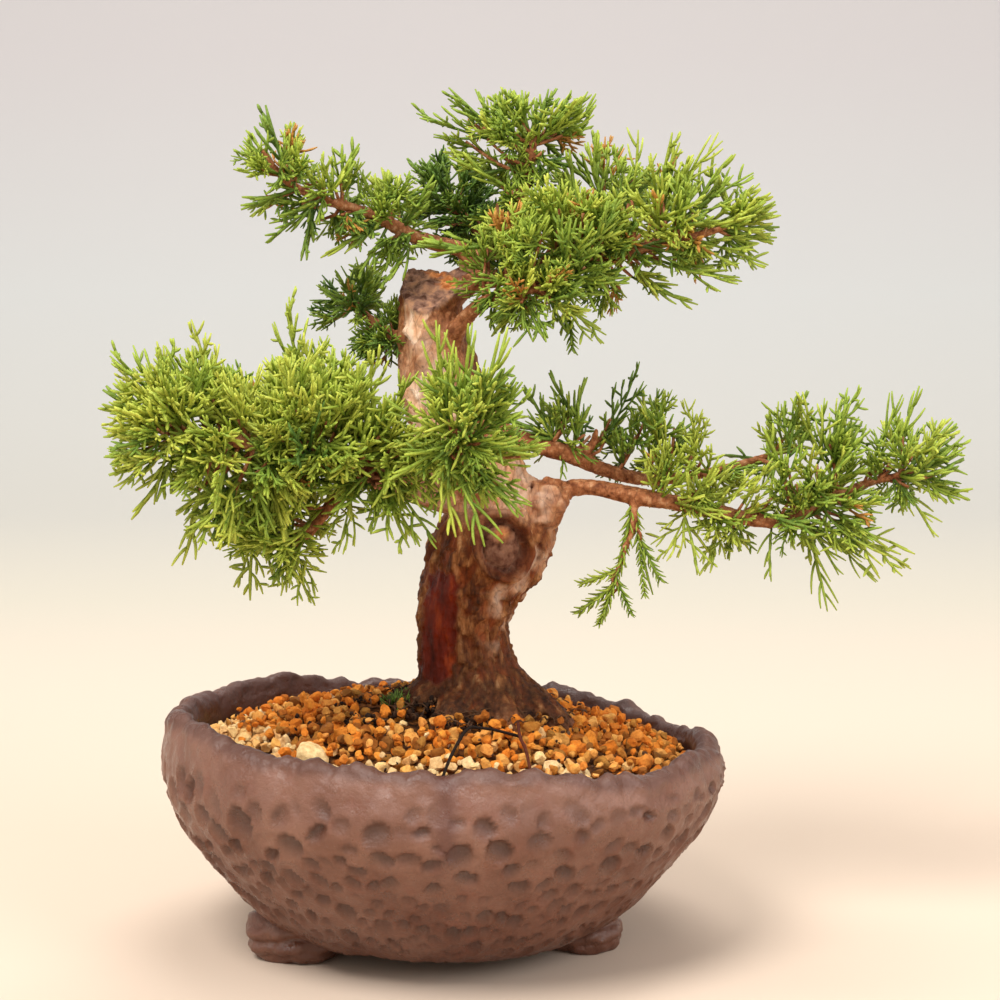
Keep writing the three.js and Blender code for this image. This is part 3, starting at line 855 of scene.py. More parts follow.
def make_humus():
    dice = random.Random(SEED + 2)
    bm = bmesh.new()
    tint = bm.verts.layers.float.new("tint")
    heap(bm, lump_shapes(5, 0.3, 12, detail=1), humus_crumbs(dice), dice)
    crumbs = len(bm.verts)
    for _ in range(170):
        lay_fibre(bm, dice)
    bm.verts.ensure_lookup_table()
    for v in bm.verts[crumbs:]:
        v[tint] = 0.8
    finish = granule_finish("humus", rgb(34, 23, 17), rgb(54, 37, 27), rgb(84, 56, 38), rgb(118, 88, 62))
    return to_object(bm, "humus_crumbs", finish)


humus = make_humus()
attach(humus, "root")
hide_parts("humus_patch")

# %% Grow the moss sprig
def sprig(bm, start, heading, length, radius, sides=4):
    """One short green shoot: a tapering tube that bends a little upwards."""
    middle = start + heading * (0.55 * length) + Vector((0, 0, -0.04 * length))
    end = start + heading * length + Vector((0, 0, 0.1 * length))
    tube(bm, [Vector((*start, radius)), Vector((*middle, 0.8 * radius)), Vector((*end, 0.3 * radius))], sides)


def make_moss():
    dice = random.Random(SEED + 3)
    bm = bmesh.new()
    for _ in range(110):
        x, y = -11 + dice.gauss(0, 1.9), -7 + dice.gauss(0, 1.9)
        lean = Vector((dice.gauss(-0.2, 0.6), dice.gauss(-0.2, 0.6), 1)).normalized()
        sprig(bm, place(x, y, soil_height(x, y) + 0.2), lean, dice.uniform(1.2, 3.8) * MM, 0.26 * MM)
    moss = Finish("moss", roughness=0.7)
    greens = (0.3, rgb(44, 62, 16)), (0.55, rgb(84, 110, 28)), (0.75, rgb(136, 156, 48))
    moss.colour(moss.ramp(moss.cloud(1.5), *greens))
    moss.bump(moss.cloud(0.4), 0.08)
    return to_object(bm, "moss_sprigs", moss.material)


moss_piece = make_moss()
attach(moss_piece, "root")
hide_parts("moss_tuft")

# %% Lay the dry root and the dry twig
ROOT_STRAND = [(1, -60, 0.4), (3.5, -53, 3.2), (7, -45, 5.2), (10, -40, 4.4), (15, -36, 2), (21, -33, 0.6)]
DRY_TWIG = [(20, -24, 0.6), (20.5, -38, 2.2), (22, -47, 2.6), (23.5, -58, 1.2), (24.2, -62, 0.6)]


def make_strand(name, route, radius, finish):
    """A dry strand along (x, y, height over the soil), uneven as a root is."""
    def uneven(index, turn):
        return 1 + 0.22 * noise.noise(Vector((index / 3, cos(turn), radius)))

    bm = bmesh.new()
    path = [(*place(x, y, soil_height(x, y) + 0.9 + lift), radius * MM) for x, y, lift in route]
    tube(bm, smooth_path(path, 0.8 * MM), 7, uneven)
    return to_object(bm, name, finish)


root_brown = granule_finish("dry_root", rgb(36, 24, 18), rgb(70, 44, 30))
twig_red = granule_finish("dry_twig", rgb(96, 44, 26), rgb(140, 74, 44))
dry_root = make_strand("dry_root", ROOT_STRAND, 0.42, root_brown)
dry_twig = make_strand("dry_fallen_twig", DRY_TWIG, 0.45, twig_red)
for piece, node, slot in ((dry_root, "dry_root_strand", "dry_root"), (dry_twig, "dry_twig", "dry_twig")):
    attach(piece, "root")
    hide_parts(node)

# %% [markdown]
# ## Trunk and branches
# The wood grew as one piece: a thick lower trunk, a shoulder where the old top was cut off, and a thinner
# leader that leans back to the left. Each limb is first a plain tapering tube. A voxel remesh then melts the
# tubes into one skin, so that every fork gets the soft web that wood has, and the bark is cut into that skin
# by moving its points along their normals.

# %% Write down the limbs
# every point is (x, y, z, radius)
LOWER_TRUNK = [
    (10, 0, 56, 18), (9, 0, 65, 16.2), (6.5, 0, 76, 12.7), (5.4, 0, 87.5, 12), (7.8, 0, 96, 13.2),
    (11.3, 0, 104, 15), (14.8, 0, 111, 14.8), (17, 0.3, 117.5, 13.4), (17.6, 0.5, 122.5, 10.4),
    (17.4, 0.8, 126.5, 5.5),
]
UPPER_TRUNK = [
    (15, 1, 117, 9), (11.5, 1.3, 124.5, 11.2), (7, 2, 132.5, 11.5), (2.6, 3, 143, 11.3),
    (-0.7, 4, 153.5, 10.6), (-3, 5, 164, 8.9), (-3.2, 6, 173, 8.3), (-2.6, 6, 180.5, 8.1),
]
BRANCHES = {
    "lower_right": [
        (23, 0, 119, 5), (32.8, 0, 122.8, 2.6), (39.5, 0, 123.6, 2.2), (52, -2, 121.4, 2.4),
        (66, -3, 119, 2.1), (80.7, -4, 115.8, 2), (91.4, -4, 115.2, 1.8), (99.5, -3, 119, 1.6),
        (114, -2, 125, 1.2), (126, -2, 128, 0.8),
    ],
    "upper_right": [
        (6, 3, 141, 5), (16.7, 2, 138.2, 2.6), (24.8, 3, 134.9, 2.3), (35.6, 5, 131.5, 2.5),
        (41.6, 7, 128.3, 2), (51, 9, 125.3, 1.9), (60, 11, 124.4, 1.7), (72, 13, 126, 1.4),
        (84, 15, 129, 1.1), (98, 17, 133, 0.8),
    ],
    "left": [
        (14, -2, 121, 8), (3.4, -6, 122, 5.4), (-4.3, -13, 124.4, 4.6), (-14.3, -24, 128.8, 4),
        (-24, -34, 134, 3.4), (-36, -42, 138, 2.6), (-51, -46, 141, 2), (-67, -48, 144, 1.2),
    ],
    "left_low": [(-19, -29, 131, 2.6), (-27, -33, 123.5, 1.9), (-35, -31, 114, 1.3), (-41, -28, 108, 0.8)],
    "left_up": [(-12, -21, 128, 2.4), (-20, -22, 140, 1.8), (-28, -19, 151, 1.3), (-33, -16, 158, 0.8)],
    "left_back": [(-3, -11, 124, 2.6), (-18, -8, 128.5, 1.9), (-34, -4, 133, 1.4), (-48, 0, 138, 0.8)],
    "front": [(8, -6, 124, 4.4), (5, -22, 129.5, 2.6), (3.5, -38, 136.5, 2), (3.6, -52, 143.5, 1.1)],
    "upper_left": [
        (9, 6, 184, 3), (4.7, 6.5, 186.9, 2.3), (-4, 7, 189, 2.1), (-10, 5, 191.5, 1.9), (-19, 2, 196.3, 1.6),
        (-32, -1, 200.5, 1.3), (-41, -3, 205.2, 1.1), (-47, -4, 213, 0.8),
    ],
    "mid_left": [(-4, 4, 157, 4), (-12.9, 8, 163.5, 1.7), (-19.9, 13, 168.1, 1.3), (-27, 18, 172.8, 0.8)],
    "crown": [
        (0, 6, 176, 5.5), (9, 6, 183, 3.1), (16.2, 6, 189.9, 2.5), (20.7, 5, 200, 2), (23.4, 4, 210.5, 1.4),
        (25, 4, 218, 0.9),
    ],
    "back": [(14, 6, 187, 2.4), (8.6, 18, 193.2, 1.5), (2, 27, 199, 0.9)],
    "upper_right_pad": [
        (0, 5, 174, 4.5), (9, 3, 178.2, 2.8), (17, 3, 179.8, 2.4), (27.3, 0, 182.6, 2.2),
        (40.5, -3, 184.8, 1.9), (53.5, -5, 187.7, 1.5), (66.5, -6, 190.6, 1.2), (76, -6, 193.5, 0.8),
    ],
    "upper_front": [
        (0, 1, 158, 4), (5.6, -4, 168, 2.3), (11.5, -9, 173.4, 1.9), (20.6, -16, 176.5, 1.4),
        (30, -21, 178, 0.9),
    ],
    "upper_rear": [(26, 1, 182, 2), (34.3, 14, 190, 1.4), (45.5, 23, 199, 0.9)],
    "hanging": [(51, -2, 121.4, 1.5), (51, -4, 114, 1), (47.5, -5, 104, 0.8), (44, -5, 94, 0.7)],
    "dead_stub": [(36.5, 5, 131, 1.8), (40.2, 4, 134.8, 1.2), (41.4, 3.6, 139, 0.8)],
}
ROOTS = [
    [(8, 0, 70, 10), (24, -5, 64, 6.5), (37, -9, 54, 3)],
    [(8, 0, 70, 10), (-6, -5, 64, 6.5), (-18, -8, 52, 3)],
    [(8, 0, 70, 10), (3, -14, 64, 5.5), (-3, -27, 53, 3)],
    [(8, 0, 70, 10), (16, -13, 64, 5), (22, -26, 53, 3)],
    [(8, 0, 70, 10), (14, 14, 63, 6), (18, 28, 52, 3)],
]
SCAR, SCAR_HALF_WIDTH, SCAR_HALF_HEIGHT = Vector((16, -13, 109.6)), 6.4, 8.3
KNOB = Vector((28.2, -4.5, 120))
CUT_AT, CUT_NORMAL = Vector((-2.6, 6, 178)), Vector((-0.1, -0.62, 0.78)).normalized()
# each knot is its place, its reach and how far it stands out
KNOTS = [
    (Vector((-4.5, -6, 104.8)), 3.2, 1.3), (Vector((2.5, -13, 96)), 2.2, 0.8),
    (Vector((25, -8, 106)), 2.4, 0.7), (Vector((25.6, -3, 99)), 2.2, 0.9),
    (Vector((11, -12, 122)), 2.6, 0.7), (Vector((24, -6, 124)), 2.6, 0.9),
    (Vector((-9, 0, 149)), 2, 0.9), (Vector((4, -6, 152)), 2.3, 0.8), (Vector((-8, 0, 165)), 2, 0.8),
    (Vector((3.5, -4, 166)), 2.2, 0.9), (Vector((16, 13, 100)), 3, 1), (Vector((2, 13, 118)), 3, 1),
    (Vector((0, -10, 110)), 1.6, 1), (Vector((7.4, -13, 92.5)), 1.3, 0.9),
    (Vector((9.6, -12.5, 83)), 1.3, 0.8), (Vector((15.3, -9, 92)), 1.4, 0.9),
    (Vector((4.5, -12, 87)), 1.2, 0.7), (Vector((12, -13, 99)), 1.4, 0.8),
]


# %% Melt the limbs into one skin
def lobed(index, turn):
    """A trunk is not round: it has a few soft ribs that wind slowly upwards."""
    return 1 + 0.05 * sin(3 * turn + 0.1 * index) + 0.03 * sin(5 * turn - 0.16 * index)


def gnarled(index, turn):
    return 1 + 0.1 * noise.noise(Vector((index / 4, cos(turn), sin(turn))))


def wood_skin():
    """One closed skin over all limbs, and the stations of every limb."""
    bm = bmesh.new()
    wood = []
    for path in (LOWER_TRUNK, UPPER_TRUNK):
        wood += tube(bm, smooth_path(path, 1.2), 40, lobed)
    for path in BRANCHES.values():
        wood += tube(bm, smooth_path(path, 1.5), 14, gnarled)
    for path in ROOTS:
        wood += tube(bm, smooth_path(path, 1.5), 20)
    ball = bmesh.ops.create_icosphere(bm, subdivisions=4, radius=1)["verts"]
    for v in ball:
        swollen = 1 + 0.16 * noise.noise(v.co * 2.2)
        v.co = KNOB + Vector((v.co.x * 5.4, v.co.y * 5.6, v.co.z * 6.6)) * swollen
    bmesh.ops.recalc_face_normals(bm, faces=bm.faces)
    raw = bpy.data.objects.new("limbs", to_mesh(bm, "limbs"))
    scene.collection.objects.link(raw)
    remesh = raw.modifiers.new("melt", "REMESH")
    remesh.mode = "VOXEL"
    remesh.voxel_size = 0.62
    melted = bpy.data.meshes.new_from_object(raw.evaluated_get(bpy.context.evaluated_depsgraph_get()))
    bpy.data.objects.remove(raw)
    print("melted wood:", len(melted.polygons), "faces")
    return melted, wood


# %% Cut the bark
# Each function shapes one thing: it takes a point p of the skin and how far the bark is pushed out there,
# gives back the new push, and notes in paint what the finish needs to know.
def push_bark(p, turn, size, height, paint):
    """Ribs, strands, flakes, cracks and wrinkles, all drawn out along the limb."""
    def grain(turns, rise, shift=0, scale=1):
        return noise.noise(Vector((cos(turn) * turns, sin(turn) * turns, height / rise + shift)) * scale)

    strands = grain(7, 8, 5)
    flakes = grain(4.5, 4.2, 40, 1.3)
    plate = smoothstep(0.02, 0.12, flakes)
    crack = 1 - smoothstep(0, 0.1, abs(grain(5.5, 12, 70)))
    paint["flake"] = 0.5 + 0.5 * (0.7 * plate + 0.6 * strands + 0.5 * flakes)
    push = size * (0.9 * grain(2.4, 10) + 0.4 * strands + 0.6 * plate - 0.6 * crack)
    push += 0.26 * noise.noise(p / 1.3) * (0.4 + 0.6 * size)
    return push + 0.3 * size * grain(2, 0.9) * smoothstep(112, 96, p.z)


def heal_scar(p, push, front, paint):
    """An old pruning scar: a thick callus rolls over the edge of a sunken plate, and the groove inside the
    callus is painted dark as painted shade.
    """
    dx, dz = p.x - SCAR.x, p.z - SCAR.z
    lean, tall = 0.96 * dx + 0.28 * dz, 0.96 * dz - 0.28 * dx
    uneven = 1 + 0.07 * noise.noise(Vector((atan2(dz, dx), 0, 0)) * 2)
    ring = hypot(lean / SCAR_HALF_WIDTH, tall / SCAR_HALF_HEIGHT) * uneven
    if ring >= 1.6 or p.y >= -4:
        return push
    callus, groove, dish = bell(ring, 1.04, 0.13), bell(ring, 0.85, 0.09), smoothstep(0.92, 0.8, ring)
    paint["scar"] = dish
    # The groove is painted dark as painted shade; the callus a little, for its own dark colour.
    paint["wound_and_shade"] = min(1, 1.2 * groove + 0.3 * callus)
    paint["fresh"] = 0.9 * bell(p.x, 15.9, 2) * bell(p.z, 113, 1.7) * dish
    push = push * smoothstep(0.8, 1.5, ring) + (2.7 * callus - 0.8 * dish - 1.5 * groove) * front
    return push + dish * (0.4 * noise.noise(p / 2) + 0.2 * noise.noise(p / 0.9))


def strip_bark(p, push, paint):
    """A band up the front where the bark has peeled off the smooth red wood."""
    if p.y >= 0:
        return push
    band = bell(p.x - 0.08 * (p.z - 88), -0.7, 4.6) * smoothstep(69, 76, p.z) * smoothstep(105, 98, p.z)
    bare = paint["strip"] = smoothstep(0.25, 0.55, band + 0.2 * noise.noise(p / 2.2))
    return push * (1 - 0.6 * bare) - 0.35 * bare


def raise_knots(p, push, paint):
    """Knots with a hole in the middle, and the swollen knob under the right branch."""
    for knot, reach, lift in KNOTS:
        gap = (p - knot).length / reach
        if gap < 1.8:
            push += lift * bell(gap, 0.55, 0.38) - 0.7 * lift * bell(gap, 0, 0.32)
            # The knot's hole is painted dark as painted shade.
            paint["wound_and_shade"] = max(paint.get("wound_and_shade", 0), bell(gap, 0, 0.5))
    swirl = (p - KNOB).length
    if swirl < 11:
        rings = sin(2.4 * hypot(p.x - KNOB.x + 2, p.z - KNOB.z + 1) + 2 * noise.noise(p / 3))
        push += smoothstep(11, 6, swirl) * (0.9 * noise.noise(p / 2.6) + 0.4 * rings)
    return push


def bleach_and_light(p):
    """How pale the wood is: bare on the upper trunk, but only on its left side, which faces the key light, so
    that it is partly painted light; less so on the right side and under the shoulder.
    """
    bare = smoothstep(-0.5, 0.25, noise.noise(p / 8)) * smoothstep(128, 145, p.z)
    # Only the left half of the upper trunk is paled: bare wood, and painted light on the side the key light
    # falls on.
    upper = bare * smoothstep(7, -2, p.x - (2.6 - 0.12 * (p.z - 143)))
    right = 0.5 * smoothstep(9, 17, p.x) * smoothstep(76, 88, p.z) * smoothstep(0, 0.3, noise.noise(p / 5))
    shoulder = 0.5 * smoothstep(113, 121, p.z) * smoothstep(140, 128, p.z) * smoothstep(27, 22, p.x)
    return max(upper, right, shoulder)


def saw_face(p, paint):
    """How rough the sawn top is, with two spots where fresh wood shows."""
    patch = sum(exp(-((p - Vector(spot)).length / 2.8) ** 2) for spot in ((2, 5, 178), (-2, 10, 181)))
    paint["fresh"] = smoothstep(0.25, 0.6, patch + 0.3 * noise.noise(p / 1.2))
    rim = smoothstep(6, 8.5, (p - CUT_AT).length)
    return 0.7 * noise.noise(p / 1.8) + 0.35 * noise.noise(p / 0.8) + 0.6 * rim


# %% Carve the whole skin
PAINTS = ("flake", "scar", "wound_and_shade", "strip", "cut", "fresh", "pale", "thin")


def carve(melted, wood):
    """Cuts the top flat, moves the rest of the skin along its normals, and stores the paint on its points."""
    tree = search_tree([station[0] for station in wood])
    bm = bmesh.new()
    bm.from_mesh(melted)
    every_way = {"use_axis_x": True, "use_axis_y": True, "use_axis_z": True}
    for _ in range(3):
        bmesh.ops.smooth_vert(bm, verts=bm.verts, factor=0.5, **every_way)
    bm.normal_update()
    layers = {name: bm.verts.layers.float.new(name) for name in PAINTS}
    for v in bm.verts:
        p = v.co.copy()
        _, number, distance = min(tree.find_n(p, 4), key=lambda hit: hit[2] / (wood[hit[1]][1] + 0.5))
        centre, radius, _, side, up = wood[number]
        over = (p - CUT_AT).dot(CUT_NORMAL)
        beside = radius > 3.4 or distance > 1.3 * radius + 0.5
        is_cut = over > -0.4 and beside and p.z > 165 and (p - CUT_AT).length < 12.5
        if is_cut:
            p -= CUT_NORMAL * max(over, 0)
        turn = atan2((p - centre).dot(up), (p - centre).dot(side))
        paint = {"cut": float(is_cut), "thin": 1 - smoothstep(2.2, 6, radius), "pale": bleach_and_light(p)}
        push = push_bark(p, turn, min(radius / 11, 1), number * 0.012 + p.z, paint)
        push = heal_scar(p, push, smoothstep(0.05, 0.5, -v.normal.y), paint)
        push = strip_bark(p, push, paint)
        push = raise_knots(p, push, paint)
        v.co = p + (CUT_NORMAL * saw_face(p, paint) if is_cut else v.normal * push)
        for name, value in paint.items():
            v[layers[name]] = value
    into_frame(bm)
    return bm


# %% Mix the bark's finish
def bark_finish():
    bark = Finish("juniper_bark", roughness=0.8, specular=0.16)
    streaks = bark.cloud(3.2, detail=6, stretch=(1, 1, 0.28), roughness=0.65)
    old = bark.ramp(
        streaks,
        (0.3, rgb(40, 17, 5)), (0.44, rgb(104, 56, 26)), (0.56, rgb(158, 102, 58)), (0.7, rgb(212, 162, 112)),
    )
    red = bark.ramp(
        bark.cloud(2.4, detail=5, stretch=(1, 1, 0.35)),
        (0.3, rgb(62, 22, 8)), (0.6, rgb(138, 66, 30)), (0.8, rgb(190, 118, 70)),
    )
    base = bark.mix(bark.share(bark.painted("flake"), 0.25, 0.85), red, old)
    low = bark.share(bark.axis("Z"), 0.088, 0.066)
    damp = bark.maths("MULTIPLY", low, bark.share(bark.cloud(4, detail=4), 0.25, 0.55))
    wet = bark.ramp(bark.cloud(1.6, detail=5), (0.35, rgb(32, 16, 7)), (0.7, rgb(84, 48, 26)))
    base = bark.mix(damp, base, wet)
    pink = bark.ramp(
        bark.cloud(4, detail=6, stretch=(1, 1, 0.5)),
        (0.3, rgb(160, 96, 60)), (0.4, rgb(216, 160, 120)),
        (0.5, rgb(242, 198, 162)), (0.68, rgb(252, 226, 202)),
    )
    # Pale bare wood, partly painted light on the upper trunk's left side.
    base = bark.mix(bark.painted("pale"), base, pink)
    twig = bark.ramp(
        bark.cloud(1.8, detail=5),
        (0.3, rgb(108, 56, 30)), (0.55, rgb(172, 110, 70)), (0.75, rgb(214, 164, 122)),
    )
    base = bark.mix(bark.painted("thin"), base, twig)
    plates = bark.cells(2.6, "DISTANCE_TO_EDGE", stretch=(1, 1, 0.4))
    # Dark lines along the bark's cracks: partly the darker inner bark, partly painted shade in the crevices.
    cracks = bark.ramp(plates, (0.0, (1, 1, 1)), (0.05, (0, 0, 0)))
    base = bark.cover(base, cracks, 0.35, rgb(52, 30, 22))
    # Small dark spots for the bark's holes: painted shade inside holes that the surface does not cut.
    holes = bark.ramp(bark.cells(3.4), (0.0, (1, 1, 1)), (0.16, (0, 0, 0)))
    base = bark.cover(base, holes, 0.7, rgb(44, 26, 18))
    dark = bark.ramp(streaks, (0.3, rgb(44, 18, 9)), (0.7, rgb(110, 54, 32)))
    # Dark scar groove and knot holes: painted shade, over the callus's own dark reddish-brown.
    base = bark.mix(bark.painted("wound_and_shade"), base, dark)
    healed = bark.ramp(
        bark.cloud(2.6, detail=5),
        (0.34, rgb(58, 26, 16)), (0.46, rgb(112, 72, 54)), (0.6, rgb(142, 102, 80)), (0.72, rgb(150, 80, 40)),
    )
    base = bark.mix(bark.painted("scar"), base, healed)
    paste = bark.ramp(
        bark.cloud(2.6, detail=6),
        (0.36, rgb(88, 54, 40)), (0.5, rgb(150, 112, 94)), (0.64, rgb(196, 146, 112)),
    )
    base = bark.mix(bark.painted("cut"), base, paste)
    orange = bark.ramp(bark.cloud(1.4), (0.35, rgb(176, 92, 42)), (0.65, rgb(242, 168, 104)))
    base = bark.mix(bark.painted("fresh"), base, orange)
    polished = bark.ramp(
        bark.cloud(5, detail=5, stretch=(1, 1, 0.3)),
        (0.3, rgb(54, 9, 2)), (0.55, rgb(116, 32, 6)), (0.75, rgb(186, 82, 32)),
    )
    bark.colour(bark.mix(bark.painted("strip"), base, polished))
    gloss = bark.maths("MULTIPLY", bark.painted("strip"), 0.36)
    bark.roughness(bark.maths("SUBTRACT", bark.share(streaks, -0.2, 1.1), gloss))
    bark.bump(bark.cloud(1.1, detail=7, stretch=(1, 1, 0.4), roughness=0.7), 0.5)
    bark.bump(plates, 0.3)
    return bark.material


BARK = bark_finish()


# %% Finish the wood
melted, wood_stations = wood_skin()
trunk = to_object(carve(melted, wood_stations), "juniper_wood", BARK)
bpy.data.meshes.remove(melted)
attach(trunk, "root")
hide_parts("trunk_and_branches")

# %% [markdown]
# ## Leafy shoots
# This juniper has no flat leaves. Its leaves are tiny scales that clothe every shoot like cord, about 1 mm
# thick, and the shoots fork again and again in one plane like a feather. A few sprays of different habit are
# built once from tapering tubes, and then copied, turned and stretched along the twigs. Young growth has free
# needles instead of scales, and hangs under one branch at the right.

# %% Shape one scaly shoot
SCALE_BULGE = (0.8, 1.1, 0.9, 1.08, 0.88, 0.5)
SHOOT_RADIUS = 0.45


def shoot(bm, start, heading, length, radius, bend, young, segments=4):
    """A short cord of scales from start along heading, curved by bend, with its tip value rising to young."""
    tip = bm.verts.layers.float["tip"]
    known = len(bm.verts)
    path = []
    for i in range(segments + 1):
        t = i / segments
        spot = start + heading * (length * t) + bend * (length * t * t)
        path.append(Vector((*spot, radius * SCALE_BULGE[round(t * 5)])))
    tube(bm, path, 4)
    bm.verts.ensure_lookup_table()
    for v in bm.verts[known:]:
        v[tip] = min(1, young * (0.25 + 0.75 * (v.co - start).length / length))


# %% Fork it into sprays
def new_spray():
    bm = bmesh.new()
    bm.verts.layers.float.new("tip")
    bm.verts.layers.float.new("tint")
    return bm


def sealed(bm):
    bmesh.ops.recalc_face_normals(bm, faces=bm.faces)
    return to_mesh(bm, "spray")


def feather_spray(dice, length, gap=3.1, opening=42, reach=0.5, subs=True):
    """A flat spray along X: side shoots leave the stem left and right in turn, shorter towards the tip."""
    bm = new_spray()
    bend = Vector((0, dice.uniform(-0.16, 0.16), dice.uniform(-0.05, 0.18)))
    shoot(bm, Vector(), Vector((1, 0, 0)), length, SHOOT_RADIUS, bend, 0.8, 6)
    forks = round(length / gap)
    for k in range(forks):
        t = 0.08 + 0.86 * (k + dice.uniform(-0.3, 0.3)) / forks
        root = Vector((length * t, 0, 0)) + bend * (length * t * t)
        hand = 1 if k % 2 else -1
        turn = radians(opening + dice.uniform(-12, 12)) * hand
        lift = dice.uniform(-0.45, 0.5)
        heading = Vector((cos(turn), sin(turn), lift)).normalized()
        size = length * (reach * (1 - t) + 0.16) * dice.uniform(0.75, 1.2)
        forward = Vector((0.2, -0.2 * hand, 0.1))
        shoot(bm, root, heading, size, 0.94 * SHOOT_RADIUS, forward, 1.0, 4 if size > 4 else 3)
        if subs and size > 4.4:
            for j, share in enumerate((0.24, 0.46, 0.68) if size > 7.5 else (0.3, 0.58)):
                spot = root + heading * (size * share) + forward * (size * share * share)
                side = turn + radians(44) * (1 if j % 2 else -1)
                branchlet = Vector((cos(side), sin(side), lift + dice.uniform(-0.25, 0.25))).normalized()
                reached = size * dice.uniform(0.34, 0.52)
                shoot(bm, spot, branchlet, reached, 0.9 * SHOOT_RADIUS, Vector((0.1, 0, 0.1)), 1.0, 3)
    return sealed(bm)


def whip_spray(dice, length):
    """A long young shoot with only a few forks."""
    return feather_spray(dice, length, gap=3.7, opening=34, reach=0.4, subs=False)


def tuft_spray(dice, length):
    """A short bushy end, whose shoots stand close together."""
    return feather_spray(dice, length, gap=2.6, opening=36, reach=0.62)


def needle_spray(dice, length):
    """Juvenile growth: free needles in threes that point forwards along the stem."""
    bm = new_spray()
    shoot(bm, Vector(), Vector((1, 0, 0)), length, 0.42, Vector((0, dice.uniform(-0.1, 0.1), 0.05)), 0.5, 5)
    tip = bm.verts.layers.float["tip"]
    whorls = round(length / 1.35)
    for k in range(whorls):
        t = (k + 0.4) / whorls
        for j in range(3):
            around = tau * j / 3 + 0.9 * k
            heading = Vector((0.78, 0.6 * cos(around), 0.6 * sin(around))).normalized()
            known = len(bm.verts)
            start = Vector((length * t, 0, 0.05 * length * t * t))
            sprig(bm, start, heading, dice.uniform(2.6, 4.2) * (1 - 0.35 * t), 0.36)
            bm.verts.ensure_lookup_table()
            for v in bm.verts[known:]:
                v[tip] = 0.35 + 0.65 * min(1, (v.co - start).length / 3)
    return sealed(bm)


def make_spray_sheet():
    """Two sprays of each habit at each of six lengths, so that none is stretched much when it is copied."""
    dice = random.Random(SEED + 4)
    makers = {"feather": feather_spray, "tuft": tuft_spray, "whip": whip_spray, "needle": needle_spray}
    lengths = (11, 11, 14, 14, 17, 17, 20, 20, 23, 23, 26, 26)
    return {habit: [(length, maker(dice, length)) for length in lengths] for habit, maker in makers.items()}


SPRAYS = make_spray_sheet()
for habit, shapes in SPRAYS.items():
    print(habit, [len(mesh.polygons) for _, mesh in shapes], "faces")


# %% Aim a spray
BOX_LOW, BOX_HIGH = ((Vector(corner) - AXIS) / MM for corner in cad_box)
MARGIN = Vector((1.2, 1.5, 2))


def aim_spray(bm, habit, base, tip, roll, tint, dice):
    """Puts a spray with its stem from base to tip, in millimetres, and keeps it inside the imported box."""
    tip = Vector(min(max(t, low + m), high - m) for t, low, high, m in zip(tip, BOX_LOW, BOX_HIGH, MARGIN))
    length = (tip - base).length
    along = (tip - base).normalized()
    up = Vector((0.15, -0.1, 1))
    flat = up - along * up.dot(along)
    flat = flat.normalized() if flat.length > 0.05 else Vector((0, 1, 0))
    flat = Matrix.Rotation(roll, 3, along) @ flat
    turned = Matrix((along, flat.cross(along), flat)).transposed().to_4x4()
    own_length, shape = dice.choice(sorted(SPRAYS[habit], key=lambda spray: abs(spray[0] - length))[:4])
    copy = shape.copy()
    stretch = length / own_length
    copy.transform(Matrix.Translation(place(*base)) @ turned @ Matrix.Scale(stretch * MM, 4))
    set_tint(copy, "tint", tint)
    bm.from_mesh(copy)
    bpy.data.meshes.remove(copy)


# %% [markdown]
# ## Leaf pads
# A bonsai grower wires each branch so that its foliage spreads into a pad. Each pad here follows the same few
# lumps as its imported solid. Twigs run from the branch to points spread evenly inside a lump, and sprays leave
# them outwards and end near the lump's surface, so the pad is leafy outside and twiggy within.

# %% Lay out the pads
# lumps are (x, y, z, half-width, half-depth, half-height)
PADS = {
    "foliage_left_outer": [
        (-65, -47, 144, 19, 20, 20), (-50, -48, 137, 19, 20, 22), (-42, -35, 121, 16, 18, 19),
    ],
    "foliage_left_inner": [
        (-31, -46, 146, 17, 17, 18), (-17, -44, 137, 14, 15, 16), (-32, -26, 150, 14, 14, 16),
    ],
    "foliage_left_back": [(-42, 0, 142, 17, 14, 13), (-55, -6, 146, 12, 12, 10)],
    "foliage_front": [(7, -55, 146, 16, 15, 18), (-3, -46, 134, 11, 11, 12), (15, -49, 134, 11, 11, 13)],
    "foliage_mid_left": [(-25, 18, 171, 11, 12, 13), (-16, 12, 164, 6, 8, 8)],
    "foliage_upper_left": [(-42, -4, 207, 12, 12, 14), (-31, -2, 201, 13, 12, 13), (-16, 2, 196, 13, 11, 13)],
    "foliage_back": [(1, 25, 200, 13, 13, 14), (12, 30, 192, 11, 12, 12)],
    "foliage_crown": [(24, 4, 218, 16, 15, 12), (12, 4, 216, 12, 11, 10), (18, 6, 203, 12, 12, 11)],
    "foliage_upper_inner": [
        (20, -12, 186, 17, 14, 13), (34, -14, 190, 16, 15, 16), (26, -20, 175, 13, 12, 11),
    ],
    "foliage_upper_outer": [(58, -6, 196, 18, 16, 15), (73, -6, 193, 15, 14, 15), (48, -4, 179, 14, 13, 9)],
    "foliage_upper_rear": [(44, 23, 201, 16, 13, 14), (32, 16, 194, 10, 9, 10)],
    "foliage_middle": [(38, 7, 140, 14, 10, 9), (57, 11, 140, 12, 11, 10)],
    "foliage_right_inner": [(68, 3, 129, 15, 14, 13), (76, 0, 116, 14, 13, 12)],
    "foliage_right_outer": [(98, 2, 131, 17, 17, 16), (104, -1, 116, 16, 15, 13)],
    "foliage_right_tip": [(126, -1, 130, 15, 14, 14)],
    "foliage_hanging": [],
}
